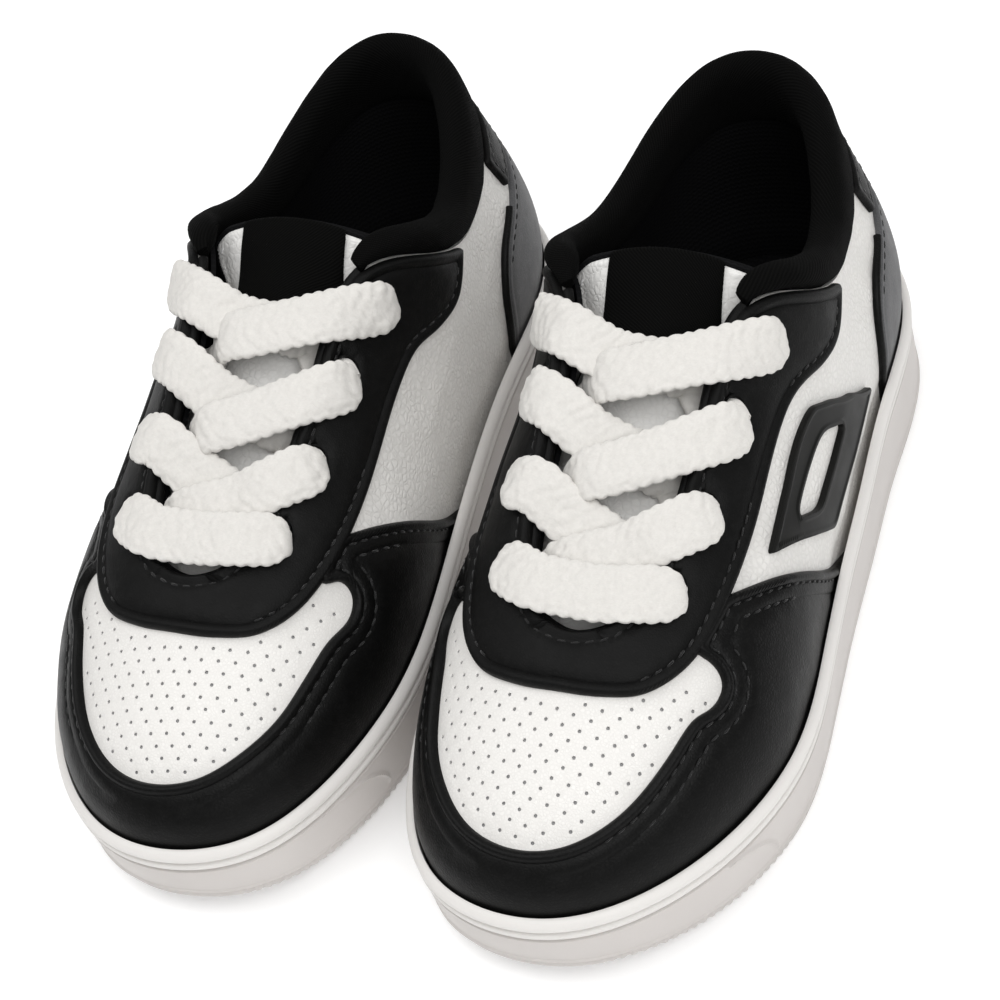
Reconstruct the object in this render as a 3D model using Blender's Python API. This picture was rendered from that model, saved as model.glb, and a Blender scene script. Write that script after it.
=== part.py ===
"""Pair of low-top cheer sneakers, modelled in metres with +Z up, toes toward -Y and heels toward +Y.

Each shoe is a cupsole with a foam midsole, a board and a sockliner in it, and a sewn upper of layered
leather panels with a padded collar, a hinged tongue and a flat lace. Lengths below are in millimetres.
The wearer's left shoe stands at +X and is modelled in its own frame; the right shoe is its mirror image.
"""

import math

import bmesh
import bpy
import numpy as np
from mathutils import Vector
from mathutils.geometry import delaunay_2d_cdt

MM = 0.001
SHOE_X = 42.4  # each shoe's centre plane from the middle of the pair
SHOE_Y = 0.2  # puts the pair's middle at y = 0
TONGUE_HINGE = (0.0, -56.0, 47.5)  # where the tongue is sewn under the throat

# The upper is a skin between the feather line, where it meets the sole, and the mouth: the throat, the top
# of the eyestay and the collar. Each station gives the feather's x and y, the mouth's x, y and z, how far the
# skin's slope handle reaches outward and upward from the feather, and outward and downward from the mouth.
# Stations run from the back of the heel round the outer side, the toe and the inner side.
STATIONS = (
    (2, 97, 1, 88, 80.5, 4, 18, 1, 16),
    (19, 91, 13, 83.5, 78.5, 4, 18, 1, 15),
    (29.5, 71, 21.5, 68, 71.5, 4, 16, 2, 14),
    (31, 44, 26, 47, 66.5, 3, 14, 2, 14),
    (32.5, 18, 26, 26, 76, 2, 16, 3, 18),
    (34, -7, 17.5, 10, 80, 1, 20, 7, 14),
    (36, -30, 14.5, -14, 68.5, 1, 19, 9, 8),
    (36, -53, 13, -36, 59.5, 1, 16, 9, 4),
    (27.5, -76, 9, -49.5, 55, 1, 14, 9, 4),
    (13, -92.5, 4.5, -53.5, 53.5, 0, 13, 11, 4),
    (-3, -98, 0, -54.5, 53, 0, 13, 12, 4),
    (-19, -93, -4.5, -53.5, 53.5, 0, 13, 11, 4),
    (-29.5, -77, -9, -49.5, 55, 1, 14, 9, 4),
    (-35, -53, -13, -36, 59.5, 1, 16, 8.5, 4),
    (-34.5, -30, -14.5, -14, 68.5, 1, 19, 8.5, 8),
    (-31.5, -7, -17.5, 10, 80, 1, 20, 6, 14),
    (-28.5, 18, -26, 26, 77, 2, 16, 3, 18),
    (-27, 44, -25, 47, 67.5, 3, 14, 2, 14),
    (-26, 71, -19.5, 68, 72, 4, 16, 2, 14),
    (-16, 91, -11, 83.5, 78.5, 4, 18, 1, 15),
)
ROUND = len(STATIONS)  # a full turn in stations
TOE = ROUND // 2  # the station at the tip of the toe

# Sole heights: the rim, and the ground side with its toe spring.
RIM_TOE = 21.5
RIM_HEEL = 25.0
RIM_TIP_RISE = 2.5
TOE_SPRING = 6.5
SPRING_FROM_Y = -50.0
TOE_Y = -98.0
HEEL_Y = 97.0
SOLE_FLOOR = 4.5  # thickness of the cupsole's bottom
RIM_OUT = 4.6  # the rim's outer face from the feather line
WALL_IN = 3.1  # the rim's inner face from the feather line
TURN_UNDER = 8.5  # how far the upper goes down inside the cupsole
BOARD = 1.2
SOCKLINER = 4.0
GAP = 0.3

# Layers of the upper, as distances out from the skin.
BASE = (0.0, 1.2)
OVERLAY = (1.5, 2.7)
PIPING = (1.5, 2.8)
BADGE = (1.5, 2.4)
STIFFENER = (-1.3, -0.3)
LINING = (-2.6, -1.6)

# The skin's grid: every panel's facets follow it, so stacked panels never cross.
FINE_STEP = 0.5  # stations between grid lines round the toe and the heel; elsewhere it is 1
T_ROWS = (-0.17, 0.0, 0.35, 0.68, 1.0, 1.12)
T_LOW = T_ROWS[0]
U_SCALE = 18.0  # rough millimetres per station, for well-shaped triangles
T_SCALE = 50.0  # rough millimetres from feather to mouth

# Eyelets, from the toe up, as (station, height) on the outer side.
EYELETS = ((7.28, 0.865), (6.45, 0.865), (5.65, 0.86), (4.95, 0.855))
EYELET_R = 2.7
CORD_R = 1.6  # the lace where it is squeezed through an eyelet
LACE_W = 9.0
LACE_T = 2.4
LACE_OVER = 4.8  # the lace's middle above the skin where it lies on the eyestay
LACE_UNDER = -4.6  # and below it where it runs inside
# Where two strands cross over the throat: (distance from the middle, height over the throat's edge), from the
# side where the strand comes up to the side that it goes to.
UPPER_STRAND = ((10.2, -5.8), (7.8, -2.0), (5.0, 1.8), (0.0, 3.0), (-6.0, 3.6))
LOWER_STRAND = ((10.3, -5.6), (6.0, -2.0), (0.0, -0.2), (-5.0, 0.2), (-8.5, 1.6))
STRAND_WIDTHS = (6.4, 7.8, LACE_W, LACE_W, 8.4)
BAR_SAG = 2.2  # the lowest bar's middle below its place at the throat's edge
OVER_EDGE = 5.1  # the lace's middle above the throat's edge
THROAT_SLOPE = (0.0, -0.42, 0.9)  # the way the throat faces

# The tongue's middle line as (y, z) of its outer face, with half width and how far its sides droop.
TONGUE_LINE = (
    (-60, 43.0, 14, 1.5),
    (-48, 48.0, 17, 3.5),
    (-34, 54.5, 20, 6.0),
    (-16, 62.0, 21, 9.0),
    (0, 69.5, 19.0, 11.0),
    (12, 76.0, 16.5, 11.5),
    (19, 81.0, 20.5, 10.5),
    (26, 86.0, 21.5, 9.0),
)
TONGUE_FACE = (-1.0, 0.0)
TONGUE_FOAM = (-4.6, -1.3)
TONGUE_BACK = (-5.7, -4.9)
STRAP_HALF = 0.58  # half the strap's width, as a part of the tongue's half width
STRAP_FROM = 0.57  # how far up the tongue the strap starts
STRAP_FRONT = (0.3, 1.3)
STRAP_BACK = (-7.0, -6.0)

WHITE = (0.86, 0.86, 0.85)
BLACK = (0.018, 0.018, 0.02)
GRAY = (0.10, 0.10, 0.11)
SOLE_WHITE = (0.80, 0.78, 0.77)
LOOKS = {
    "rubber": (SOLE_WHITE, 0.55),
    "foam": ((0.75, 0.74, 0.72), 0.9),
    "board": ((0.55, 0.50, 0.42), 0.9),
    "white_leather": (WHITE, 0.5),
    "black_leather": (BLACK, 0.45),
    "gray_leather": (GRAY, 0.5),
    "black_textile": ((0.015, 0.015, 0.016), 0.85),
    "stiffener": ((0.6, 0.58, 0.52), 0.8),
    "lace": ((0.88, 0.88, 0.87), 0.9),
    "aglet": ((0.8, 0.8, 0.8), 0.25),
}


def closed_spline(rows):
    """A smooth closed curve through rows; returns a function of the station number."""
    rows = np.asarray(rows, float)
    count = len(rows)
    slope_matrix = 4 * np.eye(count) + np.roll(np.eye(count), 1, 0) + np.roll(np.eye(count), -1, 0)
    slopes = np.linalg.solve(slope_matrix, 3 * (np.roll(rows, -1, 0) - np.roll(rows, 1, 0)))

    def at(u):
        i = int(math.floor(u)) % count
        j = (i + 1) % count
        s = u - math.floor(u)
        return (
            rows[i] * (1 + 2 * s) * (1 - s) ** 2
            + slopes[i] * s * (1 - s) ** 2
            + rows[j] * s * s * (3 - 2 * s)
            + slopes[j] * s * s * (s - 1)
        )

    return at


station = closed_spline(STATIONS)


def outward(u):
    """The plan direction out of the shoe at the feather line."""
    step = 1e-3
    along = station(u + step)[:2] - station(u - step)[:2]
    along /= np.linalg.norm(along)
    return np.array([-along[1], along[0], 0.0])


def rim_height(y):
    along = (y - TOE_Y) / (HEEL_Y - TOE_Y)
    tip = max(0.0, (0.3 - along) / 0.3)
    return RIM_TOE + (RIM_HEEL - RIM_TOE) * along + RIM_TIP_RISE * tip**2


def ground_height(y):
    return TOE_SPRING * max(0.0, (SPRING_FROM_Y - y) / (SPRING_FROM_Y - TOE_Y)) ** 2


def skin_point(u, t):
    """The upper's skin at station u and height t: 0 at the feather, 1 at the mouth."""
    row = station(u)
    out = outward(u)
    up = np.array([0.0, 0.0, 1.0])
    feather = np.array([row[0], row[1], rim_height(row[1])])
    mouth = row[2:5]
    if t < 0:
        return feather + up * t * T_SCALE
    low = feather + out * row[5] + up * row[6]
    high = mouth + out * row[7] - up * row[8]
    if t > 1:
        return mouth + (mouth - high) * 3 * (t - 1)
    s = 1 - t
    return feather * s**3 + 3 * low * t * s * s + 3 * high * t * t * s + mouth * t**3


def skin_normal(u, t):
    if t < 0:
        return outward(u)
    step = 1e-3
    low = max(t - step, 0.0)
    along = skin_point(u + step, t) - skin_point(u - step, t)
    rise = skin_point(u, low + 2 * step) - skin_point(u, low)
    normal = np.cross(rise, along)
    return normal / np.linalg.norm(normal)


def grid_stations(first, last):
    """The grid's stations: closer together round the toe and the heel, where the skin turns most."""
    along = np.arange(first, last + FINE_STEP, FINE_STEP)

    def tight(u):
        return abs(u % ROUND - TOE) < 2 or min(u % ROUND, ROUND - u % ROUND) < 1

    return [u for u in along if u % 1 == 0 or tight(u)]


class Sheet:
    """A curved sheet sampled on a grid of (a, b), straight between samples along one fixed diagonal."""

    def __init__(self, a_values, b_values, point, normal, scale):
        self.a = np.asarray(a_values, float)
        self.b = np.asarray(b_values, float)
        self.scale = scale
        self.points = np.array([[point(a, b) for b in self.b] for a in self.a])
        self.normals = np.array([[normal(a, b) for b in self.b] for a in self.a])

    def cell(self, values, x):
        i = min(max(int(np.searchsorted(values, x, side="right")) - 1, 0), len(values) - 2)
        return i, (x - values[i]) / (values[i + 1] - values[i])

    def at(self, a, b, out):
        i, p = self.cell(self.a, a)
        j, q = self.cell(self.b, b)
        if p >= q:
            corners = ((i, j, 1 - p), (i + 1, j, p - q), (i + 1, j + 1, q))
        else:
            corners = ((i, j, 1 - q), (i, j + 1, q - p), (i + 1, j + 1, p))
        place = sum(self.points[m, n] * w for m, n, w in corners)
        normal = sum(self.normals[m, n] * w for m, n, w in corners)
        return place + normal * out

    def grid_lines(self, low, high):
        """The grid's corner points and edges that a panel between these corners needs."""
        a = [x for x in self.a if low[0] - 1 <= x <= high[0] + 1]
        b = list(self.b)
        rows = len(b)
        corners = [(x, y) for x in a for y in b]
        edges = []
        for i in range(len(a)):
            for j in range(rows):
                here = i * rows + j
                if i + 1 < len(a):
                    edges.append((here, here + rows))
                if j + 1 < rows:
                    edges.append((here, here + 1))
                if i + 1 < len(a) and j + 1 < rows:
                    edges.append((here, here + rows + 1))
        return corners, edges


def inside(outline, x, y):
    """Whether (x, y) lies inside the closed outline."""
    hit = False
    for (ax, ay), (bx, by) in zip(outline, outline[1:] + outline[:1]):
        if (ay > y) != (by > y) and x < (bx - ax) * (y - ay) / (by - ay) + ax:
            hit = not hit
    return hit


def panel_mesh(sheet, outline, layer, holes=()):
    """A closed shell over the outline, between the two distances of the layer."""
    loops = [list(outline)] + [list(hole) for hole in holes]
    flat = [p for loop in loops for p in loop]
    low = (min(p[0] for p in flat), min(p[1] for p in flat))
    high = (max(p[0] for p in flat), max(p[1] for p in flat))
    corners, edges = sheet.grid_lines(low, high)
    points = list(corners)
    for loop in loops:
        first = len(points)
        points += loop
        count = len(loop)
        edges += [(first + k, first + (k + 1) % count) for k in range(count)]
    sa, sb = sheet.scale
    scaled = [Vector((a * sa, b * sb)) for a, b in points]
    found, _, faces, _, _, _ = delaunay_2d_cdt(scaled, edges, [], 0, 1e-4)
    place = [(v.x / sa, v.y / sb) for v in found]
    kept = []
    for face in faces:
        x = sum(place[k][0] for k in face) / 3
        y = sum(place[k][1] for k in face) / 3
        if inside(loops[0], x, y) and not any(inside(hole, x, y) for hole in loops[1:]):
            kept.append(tuple(face))
    used = sorted({k for face in kept for k in face})
    number = {k: n for n, k in enumerate(used)}
    triangles = [tuple(number[k] for k in face) for face in kept]
    top = [sheet.at(*place[k], layer[1]) for k in used]
    bottom = [sheet.at(*place[k], layer[0]) for k in used]
    return close_shell(top, bottom, triangles)


def close_shell(top, bottom, triangles):
    """Joins two copies of the same triangles with walls round every free edge."""
    count = len(top)
    directed = {(f[k], f[(k + 1) % 3]) for f in triangles for k in range(3)}
    faces = list(triangles)
    faces += [tuple(k + count for k in reversed(f)) for f in triangles]
    faces += [(b, a, a + count, b + count) for a, b in sorted(directed) if (b, a) not in directed]
    return list(top) + list(bottom), faces


# Outlines on the outer side, as (station, height).
SEAM = ((4.4, T_LOW), (5.16, 0.09), (6.2, 0.43), (6.78, 0.6))
SEAM_INNER = ((4.4, T_LOW), (5.16, 0.09), (6.2, 0.43), (6.62, 0.545))
EYESTAY_EDGE = (
    (3.42, 0.89),
    (3.8, 0.72),
    (4.24, 0.645),
    (4.78, 0.625),
    (5.9, 0.61),
    (6.8, 0.615),
    (7.5, 0.61),
    (8.2, 0.65),
    (9.1, 0.72),
    (10.0, 0.755),
)
TOE_BOX_EDGE = (
    (7.44, 0.595),
    (7.36, 0.53),
    (7.37, 0.46),
    (7.55, 0.44),
    (7.84, 0.465),
    (8.22, 0.42),
    (8.8, 0.33),
    (9.4, 0.275),
    (10.0, 0.26),
)
# Edges on the inner side, with stations counted from the heel along that side.
EYESTAY_INNER = (
    (3.42, 0.89),
    (3.8, 0.71),
    (4.24, 0.635),
    (4.7, 0.61),
    (5.2, 0.575),
    (6.0, 0.56),
    (6.8, 0.56),
    (7.5, 0.58),
    (8.2, 0.64),
    (9.1, 0.72),
    (10.0, 0.755),
)
TOE_BOX_INNER = (
    (7.16, 0.55),
    (6.98, 0.5),
    (6.94, 0.42),
    (7.1, 0.385),
    (7.45, 0.41),
    (7.85, 0.39),
    (8.25, 0.355),
    (8.8, 0.32),
    (9.4, 0.275),
    (10.0, 0.26),
)
COLLAR_EDGE = ((0.0, 0.76), (1.4, 0.76), (2.26, 0.78), (2.88, 0.86), (3.46, 0.91), (4.28, 0.97), (4.9, 1.0))
COUNTER_EDGE = ((2.72, T_LOW), (2.74, 0.2), (2.66, 0.38), (2.42, 0.47), (2.0, 0.5), (1.0, 0.52), (0.0, 0.53))
BADGE_CORNERS = (
    (4.66, 0.54),
    (4.25, 0.5),
    (3.8, 0.425),
    (3.24, 0.24),
    (4.0, 0.185),
    (4.8, 0.14),
    (5.4, 0.29),
    (6.2, 0.505),
    (5.5, 0.505),
)
BADGE_SLOT = ((4.6, 0.445), (4.12, 0.38), (4.58, 0.31), (5.05, 0.28), (5.6, 0.41), (5.05, 0.42))
HEEL_TAB_HALF = 1.85
PANEL_JOIN = 6.92  # the station where the toe box meets the quarters, under the overlays
MOUTH_EDGE = 0.995
COLLAR_ENDS = 4.75
EDGE = 0.012  # the space left between neighbouring panels, as a height


def smooth(points, steps):
    """Points of a smooth open curve through the given points."""
    rows = np.asarray(points, float)
    ends = np.vstack((2 * rows[0] - rows[1], rows, 2 * rows[-1] - rows[-2]))
    curve = []
    for p, q, r, s in zip(ends, ends[1:], ends[2:], ends[3:]):
        for k in range(steps):
            x = k / steps
            curve.append(
                0.5 * (2 * q + (r - p) * x
                       + (2 * p - 5 * q + 4 * r - s) * x**2
                       + (3 * q - 3 * r + s - p) * x**3)
            )
    curve.append(rows[-1])
    return [tuple(p) for p in curve]


def opposite(points):
    """The same points on the inner side, counted onward past the toe, in reverse order."""
    return [(ROUND - u, t) for u, t in reversed(points)]


def inner_side(points):
    """The same outline on the inner side, counted back from the heel."""
    return [(-u, t) for u, t in reversed(points)]


def collar_height(u):
    """The height where the panels end and the padded collar begins."""
    side = min(u % ROUND, ROUND - u % ROUND)
    return float(np.interp(side, [p[0] for p in COLLAR_EDGE], [p[1] for p in COLLAR_EDGE]))


def along_collar(start, end, steps):
    """Points just under the collar between two stations."""
    return [(float(u), collar_height(u) - EDGE) for u in np.linspace(start, end, steps + 1)]


def hole_outline(u, t, sides=6):
    """An eyelet's round hole in the skin, as an outline in stations and heights."""
    step = 1e-3
    along = (skin_point(u + step, t) - skin_point(u - step, t)) / (2 * step)
    rise = (skin_point(u, t + step) - skin_point(u, t - step)) / (2 * step)
    x_axis = along / np.linalg.norm(along)
    y_axis = np.cross(skin_normal(u, t), x_axis)
    slopes = np.array([[along @ x_axis, rise @ x_axis], [along @ y_axis, rise @ y_axis]])
    hole = []
    for k in range(sides):
        turn = 2 * math.pi * (k + 0.5) / sides
        du, dt = np.linalg.solve(slopes, (EYELET_R * math.cos(turn), EYELET_R * math.sin(turn)))
        hole.append((u + du, t + dt))
    return hole


def eyelets_between(low, high):
    """Holes of the eyelets whose stations lie in this range."""
    places = EYELETS + tuple((ROUND - u, t) for u, t in EYELETS) + tuple((-u, t) for u, t in EYELETS)
    return [hole_outline(u, t) for u, t in places if low < u < high]


def rounded(corners, part):
    """A closed outline whose corners are cut by a short curve, part of each side long."""
    rows = np.asarray(corners, float)
    points = []
    for before, here, after in zip(np.roll(rows, 1, 0), rows, np.roll(rows, -1, 0)):
        start = here + (before - here) * part
        end = here + (after - here) * part
        points += [tuple(start), tuple(0.25 * start + 0.5 * here + 0.25 * end), tuple(end)]
    return points


def loft(rings, ladder_ends=False):
    """Faces between closed rings of equal count, with a face or a ladder of faces over both ends."""
    count = len(rings[0])
    points = [p for ring in rings for p in ring]
    faces = []
    for r in range(len(rings) - 1):
        for k in range(count):
            a = r * count + k
            b = r * count + (k + 1) % count
            faces.append((a, b, b + count, a + count))
    last = (len(rings) - 1) * count
    if ladder_ends:
        faces += [face[::-1] for face in ladder(0, count)] + ladder(last, count)
    else:
        faces += [tuple(range(count))[::-1], tuple(range(last, last + count))]
    return points, faces


def ladder(first, count):
    """A cap of straight rungs from the outer side to the inner side, for a loop that starts at the heel."""
    faces = []
    for k in range(count // 2):
        corners = (first + k, first + k + 1, first + (count - k - 1) % count, first + (count - k) % count)
        faces.append(tuple(dict.fromkeys(corners)))
    return faces


def feather_loop(offset, height):
    """A loop round the shoe, offset from the feather line; both are functions of y."""
    ring = []
    for u in grid_stations(0, ROUND - FINE_STEP):
        y = station(u)[1]
        place = np.array([station(u)[0], y, 0.0]) + outward(u) * offset(y)
        place[2] = height(y)
        ring.append(place)
    return ring


def ground_out(y):
    """How far the sole's ground edge stands out from the feather line."""
    return float(np.interp(y, (TOE_Y, -60, 0, 60, HEEL_Y), (3.2, 3.4, 4.0, 5.0, 5.5)))


def floor_out(y):
    return min(WALL_IN, ground_out(y) - 1.6)


def board_top(y):
    return rim_height(y) - TURN_UNDER - GAP


def make_cupsole():
    rings = (
        feather_loop(lambda y: ground_out(y) - 1.6, ground_height),
        feather_loop(ground_out, lambda y: ground_height(y) + 1.6),
        feather_loop(lambda y: RIM_OUT, lambda y: rim_height(y) - 2.6),
        feather_loop(lambda y: RIM_OUT + 0.3, lambda y: rim_height(y) - 1.4),
        feather_loop(lambda y: RIM_OUT - 0.4, lambda y: rim_height(y) - 0.2),
        feather_loop(lambda y: WALL_IN, lambda y: rim_height(y) - 0.4),
        feather_loop(lambda y: WALL_IN, lambda y: rim_height(y) - TURN_UNDER - 1.0),
        feather_loop(floor_out, lambda y: ground_height(y) + SOLE_FLOOR),
    )
    return loft(rings, True)


def make_midsole():
    edge = lambda y: floor_out(y) - GAP
    low = feather_loop(edge, lambda y: ground_height(y) + SOLE_FLOOR + GAP)
    high = feather_loop(edge, lambda y: board_top(y) - BOARD - GAP)
    return loft((low, high), True)


def make_board():
    low = feather_loop(lambda y: floor_out(y) - GAP, lambda y: board_top(y) - BOARD)
    high = feather_loop(lambda y: WALL_IN - 2 * GAP, board_top)
    return loft((low, high), True)


def make_sockliner():
    edge = LINING[0] - GAP
    rings = (
        feather_loop(lambda y: edge, lambda y: board_top(y) + GAP),
        feather_loop(lambda y: edge, lambda y: board_top(y) + SOCKLINER),
        feather_loop(lambda y: edge - 4.0, lambda y: board_top(y) + SOCKLINER - 0.8),
    )
    return loft(rings, True)


def make_toe_box(skin):
    join = ROUND - PANEL_JOIN
    outline = [(PANEL_JOIN, T_LOW), (join, T_LOW), (join, MOUTH_EDGE), (PANEL_JOIN, MOUTH_EDGE)]
    return panel_mesh(skin, outline, BASE, eyelets_between(PANEL_JOIN, join))


def quarter_outline():
    join = PANEL_JOIN - 0.03
    outline = [(0.01, T_LOW), (join, T_LOW), (join, MOUTH_EDGE), (5.0, MOUTH_EDGE)]
    return outline + along_collar(COLLAR_ENDS, 0.01, 9)


def make_toe_guard(skin):
    """The black guard round the toe, up to the seam with the quarters."""
    outer = list(SEAM) + [(7.1, 0.598)] + smooth(TOE_BOX_EDGE, 2)
    inner = list(SEAM_INNER) + smooth(TOE_BOX_INNER, 2)
    return panel_mesh(skin, outer + opposite(inner)[1:], OVERLAY)


def make_eyestay(skin):
    inner = [(TOE, MOUTH_EDGE), (5.0, MOUTH_EDGE)] + along_collar(COLLAR_ENDS, 3.8, 2)
    outline = list(EYESTAY_EDGE) + opposite(EYESTAY_INNER)[1:] + opposite(inner) + inner[1:]
    return panel_mesh(skin, outline, OVERLAY, eyelets_between(0, ROUND))


def make_counter_cover(skin):
    return panel_mesh(skin, list(COUNTER_EDGE) + inner_side(COUNTER_EDGE)[1:], OVERLAY)


def piping_outline():
    """A thin bead just in front of the counter's edge."""
    side = [p for p in COUNTER_EDGE if p[0] > 1.9]
    back = [(u + 0.015, t + (EDGE if t > 0.4 else 0.0)) for u, t in side]
    front = [(u + 0.09, t + (0.03 if t > 0.4 else 0.0)) for u, t in side]
    return front + back[::-1]


def make_heel_tab(skin):
    low = [(HEEL_TAB_HALF, 0.545)] + [(u, t + 0.02) for u, t in COUNTER_EDGE if u < 1.6]
    top = along_collar(-HEEL_TAB_HALF - 0.1, HEEL_TAB_HALF + 0.1, 7)
    return panel_mesh(skin, low + inner_side(low)[1:] + top, OVERLAY)


def make_badge(skin):
    return panel_mesh(skin, rounded(BADGE_CORNERS, 0.15), BADGE, [rounded(BADGE_SLOT, 0.3)])


def make_stiffener(skin):
    outline = [(-2.9, -0.12), (2.9, -0.12)] + [(u, t - 0.05) for u, t in along_collar(2.4, -2.4, 6)]
    return panel_mesh(skin, outline, STIFFENER)


def make_toe_puff(skin):
    side = [(8.2, -0.12), (8.1, 0.2), (8.6, 0.4), (9.3, 0.5), (10.0, 0.52)]
    return panel_mesh(skin, side + opposite(side)[1:], STIFFENER)


def tape_outline():
    return [(7.75, 0.74), (7.75, 0.95), (6.0, 0.96), (4.4, 0.95), (4.4, 0.76), (5.0, 0.72), (6.4, 0.72)]


def make_vamp_lining(skin):
    front, back = 5.5, ROUND - 5.5
    outline = [(front, T_LOW), (back, T_LOW), (back, MOUTH_EDGE), (front, MOUTH_EDGE)]
    return panel_mesh(skin, outline, LINING, eyelets_between(front, back))


def make_quarter_lining(skin):
    end = 5.47
    outline = [(-end, T_LOW), (end, T_LOW), (end, MOUTH_EDGE), (5.0, MOUTH_EDGE)]
    outline += along_collar(COLLAR_ENDS, -COLLAR_ENDS, 18)
    outline += [(-5.0, MOUTH_EDGE), (-end, MOUTH_EDGE)]
    return panel_mesh(skin, outline, LINING, eyelets_between(-end, end))


def make_collar(skin):
    """The padded roll from the front of one side round the heel to the other."""
    rings = []
    for u in np.linspace(-COLLAR_ENDS, COLLAR_ENDS, 21):
        low = collar_height(u) + EDGE
        front = max(0.0, abs(u) - 3.2) / 1.55
        inner = -4.8 + 1.6 * front
        top = 1.08
        section = (
            (low, 0.6),
            (0.6 * low + 0.4 * top, 2.4),
            (0.3 * low + 0.7 * top, 2.1),
            (top, 0.0),
            (top, 0.6 * inner),
            (0.4 * low + 0.6 * top, inner),
            (low, 0.8 * inner),
            (low, 0.4 * inner),
        )
        rings.append([skin.at(u, t, out) for t, out in section])
    return loft(rings)


def tongue_row(s):
    rows = np.asarray(TONGUE_LINE, float)
    x = s * (len(rows) - 1)
    i = min(int(x), len(rows) - 2)
    return rows[i] + (rows[i + 1] - rows[i]) * (x - i)


def tongue_point(v, s):
    """The tongue's outer face: v from -1 to 1 across, s from 0 at the seam to 1 at the top."""
    y, z, half, droop = tongue_row(s)
    return np.array([v * half, y, z - droop * v * v])


def tongue_normal(v, s):
    step = 0.02
    rise = tongue_point(v, s + step) - tongue_point(v, s - step)
    across = tongue_point(v + step, s) - tongue_point(v - step, s)
    normal = np.cross(across, rise)
    return normal / np.linalg.norm(normal)


def tongue_outline(half, low, high):
    """The tongue's shape, with rounded top corners."""
    corner_up = high - 0.08
    corner_in = half - 0.2
    right = [(half, low), (half, corner_up), (corner_in, high)]
    return right + [(-u, t) for u, t in reversed(right)]


def make_tongue_strap(tongue):
    """A webbing strip down the middle of the tongue, folded over its top and down inside."""
    fold = 1.006
    rises = (STRAP_FROM, 0.75, 0.9)
    inner_path = [(s, STRAP_FRONT[0]) for s in rises]
    inner_path += [(fold, STRAP_FRONT[0]), (fold, STRAP_BACK[1]), (0.9, STRAP_BACK[1])]
    outer_path = [(s, STRAP_FRONT[1]) for s in rises]
    outer_path += [(fold, STRAP_FRONT[1]), (fold + 0.012, -0.5), (fold + 0.012, -5.2), (fold, STRAP_BACK[0])]
    outer_path += [(0.9, STRAP_BACK[0])]
    section = outer_path + inner_path[::-1]
    rings = []
    for v in (-STRAP_HALF, -1 / 3, 0, 1 / 3, STRAP_HALF):
        rings.append([tongue.at(v, s, out) for s, out in section])
    return loft(rings)


class Lace:
    """The flat lace's route: a bar over the lowest eyelets, then strands that cross up to the top ones."""

    def __init__(self, skin):
        self.skin = skin
        self.places = []

    def add(self, place, facing, width=LACE_W, thick=LACE_T):
        self.places.append((np.asarray(place, float), np.asarray(facing, float), width, thick))

    def eyelet(self, side, row):
        """An eyelet's middle on the skin, the skin's normal there, and the way out from the throat."""
        u, t = EYELETS[row]
        if side < 0:
            u = ROUND - u
        place = self.skin.at(u, t, 0)
        normal = self.skin.at(u, t, 1) - place
        across = np.array([side, 0.0, 0.0])
        across -= normal * (across @ normal)
        return place, normal, across / np.linalg.norm(across)

    def dive(self, side, row, back=-1.0):
        """From the throat's edge over the eyestay and through the eyelet, then back or onward inside."""
        place, normal, across = self.eyelet(side, row)
        cord = 2 * CORD_R
        edge_x, edge_z = self.throat(place[1] - 1.6)
        self.add((side * (edge_x + 0.4), place[1] - 1.6, edge_z + OVER_EDGE), normal + THROAT_SLOPE, 8.0)
        self.add(place + normal * (LACE_OVER + 0.9) - across * 2.6, normal, 6.6, LACE_T)
        self.add(place + normal * LACE_OVER - across * 0.4, normal + across, 5.4, 2.8)
        self.add(place + normal * 2.9, across, cord, cord)
        self.add(place - normal * 2.8, across, cord, cord)
        self.add(place + normal * (LACE_UNDER - 0.2) + across * 1.4 * back, across - normal, 4.0, LACE_T)
        if back < 0:
            self.add(place + normal * (LACE_UNDER - 0.7) - across * 3.6, normal, 5.0, LACE_T)

    def throat(self, y):
        """The throat edge's distance from the middle, and its height, at this y."""
        edge = [self.skin.at(u, 1.0, 0) for u in np.linspace(TOE, COLLAR_ENDS, 30)]
        along = [p[1] for p in edge]
        return np.interp(y, along, [p[0] for p in edge]), np.interp(y, along, [p[2] for p in edge])

    def cross(self, side, row, strand):
        """From inside this row's eyelet over the middle toward the next row's, on the other side."""
        low, high = self.eyelet(side, row)[0], self.eyelet(-side, row + 1)[0]
        for (x, height), width in zip(strand, STRAND_WIDTHS):
            part = 0.5 - x / (low - high)[0] * side
            y = low[1] + (high - low)[1] * part
            self.add((side * x, y, self.throat(y)[1] + height), THROAT_SLOPE, width)

    def tail(self, side):
        """The free end's two places inside the shoe, down the lining from the top eyelet."""
        u, t = EYELETS[-1]
        bend = self.skin.at(side * (u - 0.25), t - 0.16, -5.0)
        end = self.skin.at(side * (u - 0.5), t - 0.33, -6.2)
        return [bend, end]

    def half(self, side, over):
        """From the bar's middle to one free end; the strands that start on the side over lie on top."""
        self.places = []
        y = self.eyelet(side, 0)[0][1] - 2.0
        self.add((side * 5.0, y, self.throat(y)[1] + OVER_EDGE - BAR_SAG), THROAT_SLOPE)
        self.dive(side, 0)
        here = side
        for row in range(len(EYELETS) - 1):
            self.cross(here, row, UPPER_STRAND if here == over else LOWER_STRAND)
            here = -here
            self.dive(here, row + 1, 1.0 if row + 2 == len(EYELETS) else -1.0)
        for place in self.tail(here):
            self.add(place, (1, 0, 0), 3.4, LACE_T)
        return self.places


def make_lace(skin, over):
    lace = Lace(skin)
    return sweep(lace.half(-1, over)[::-1] + lace.half(1, over))


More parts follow.
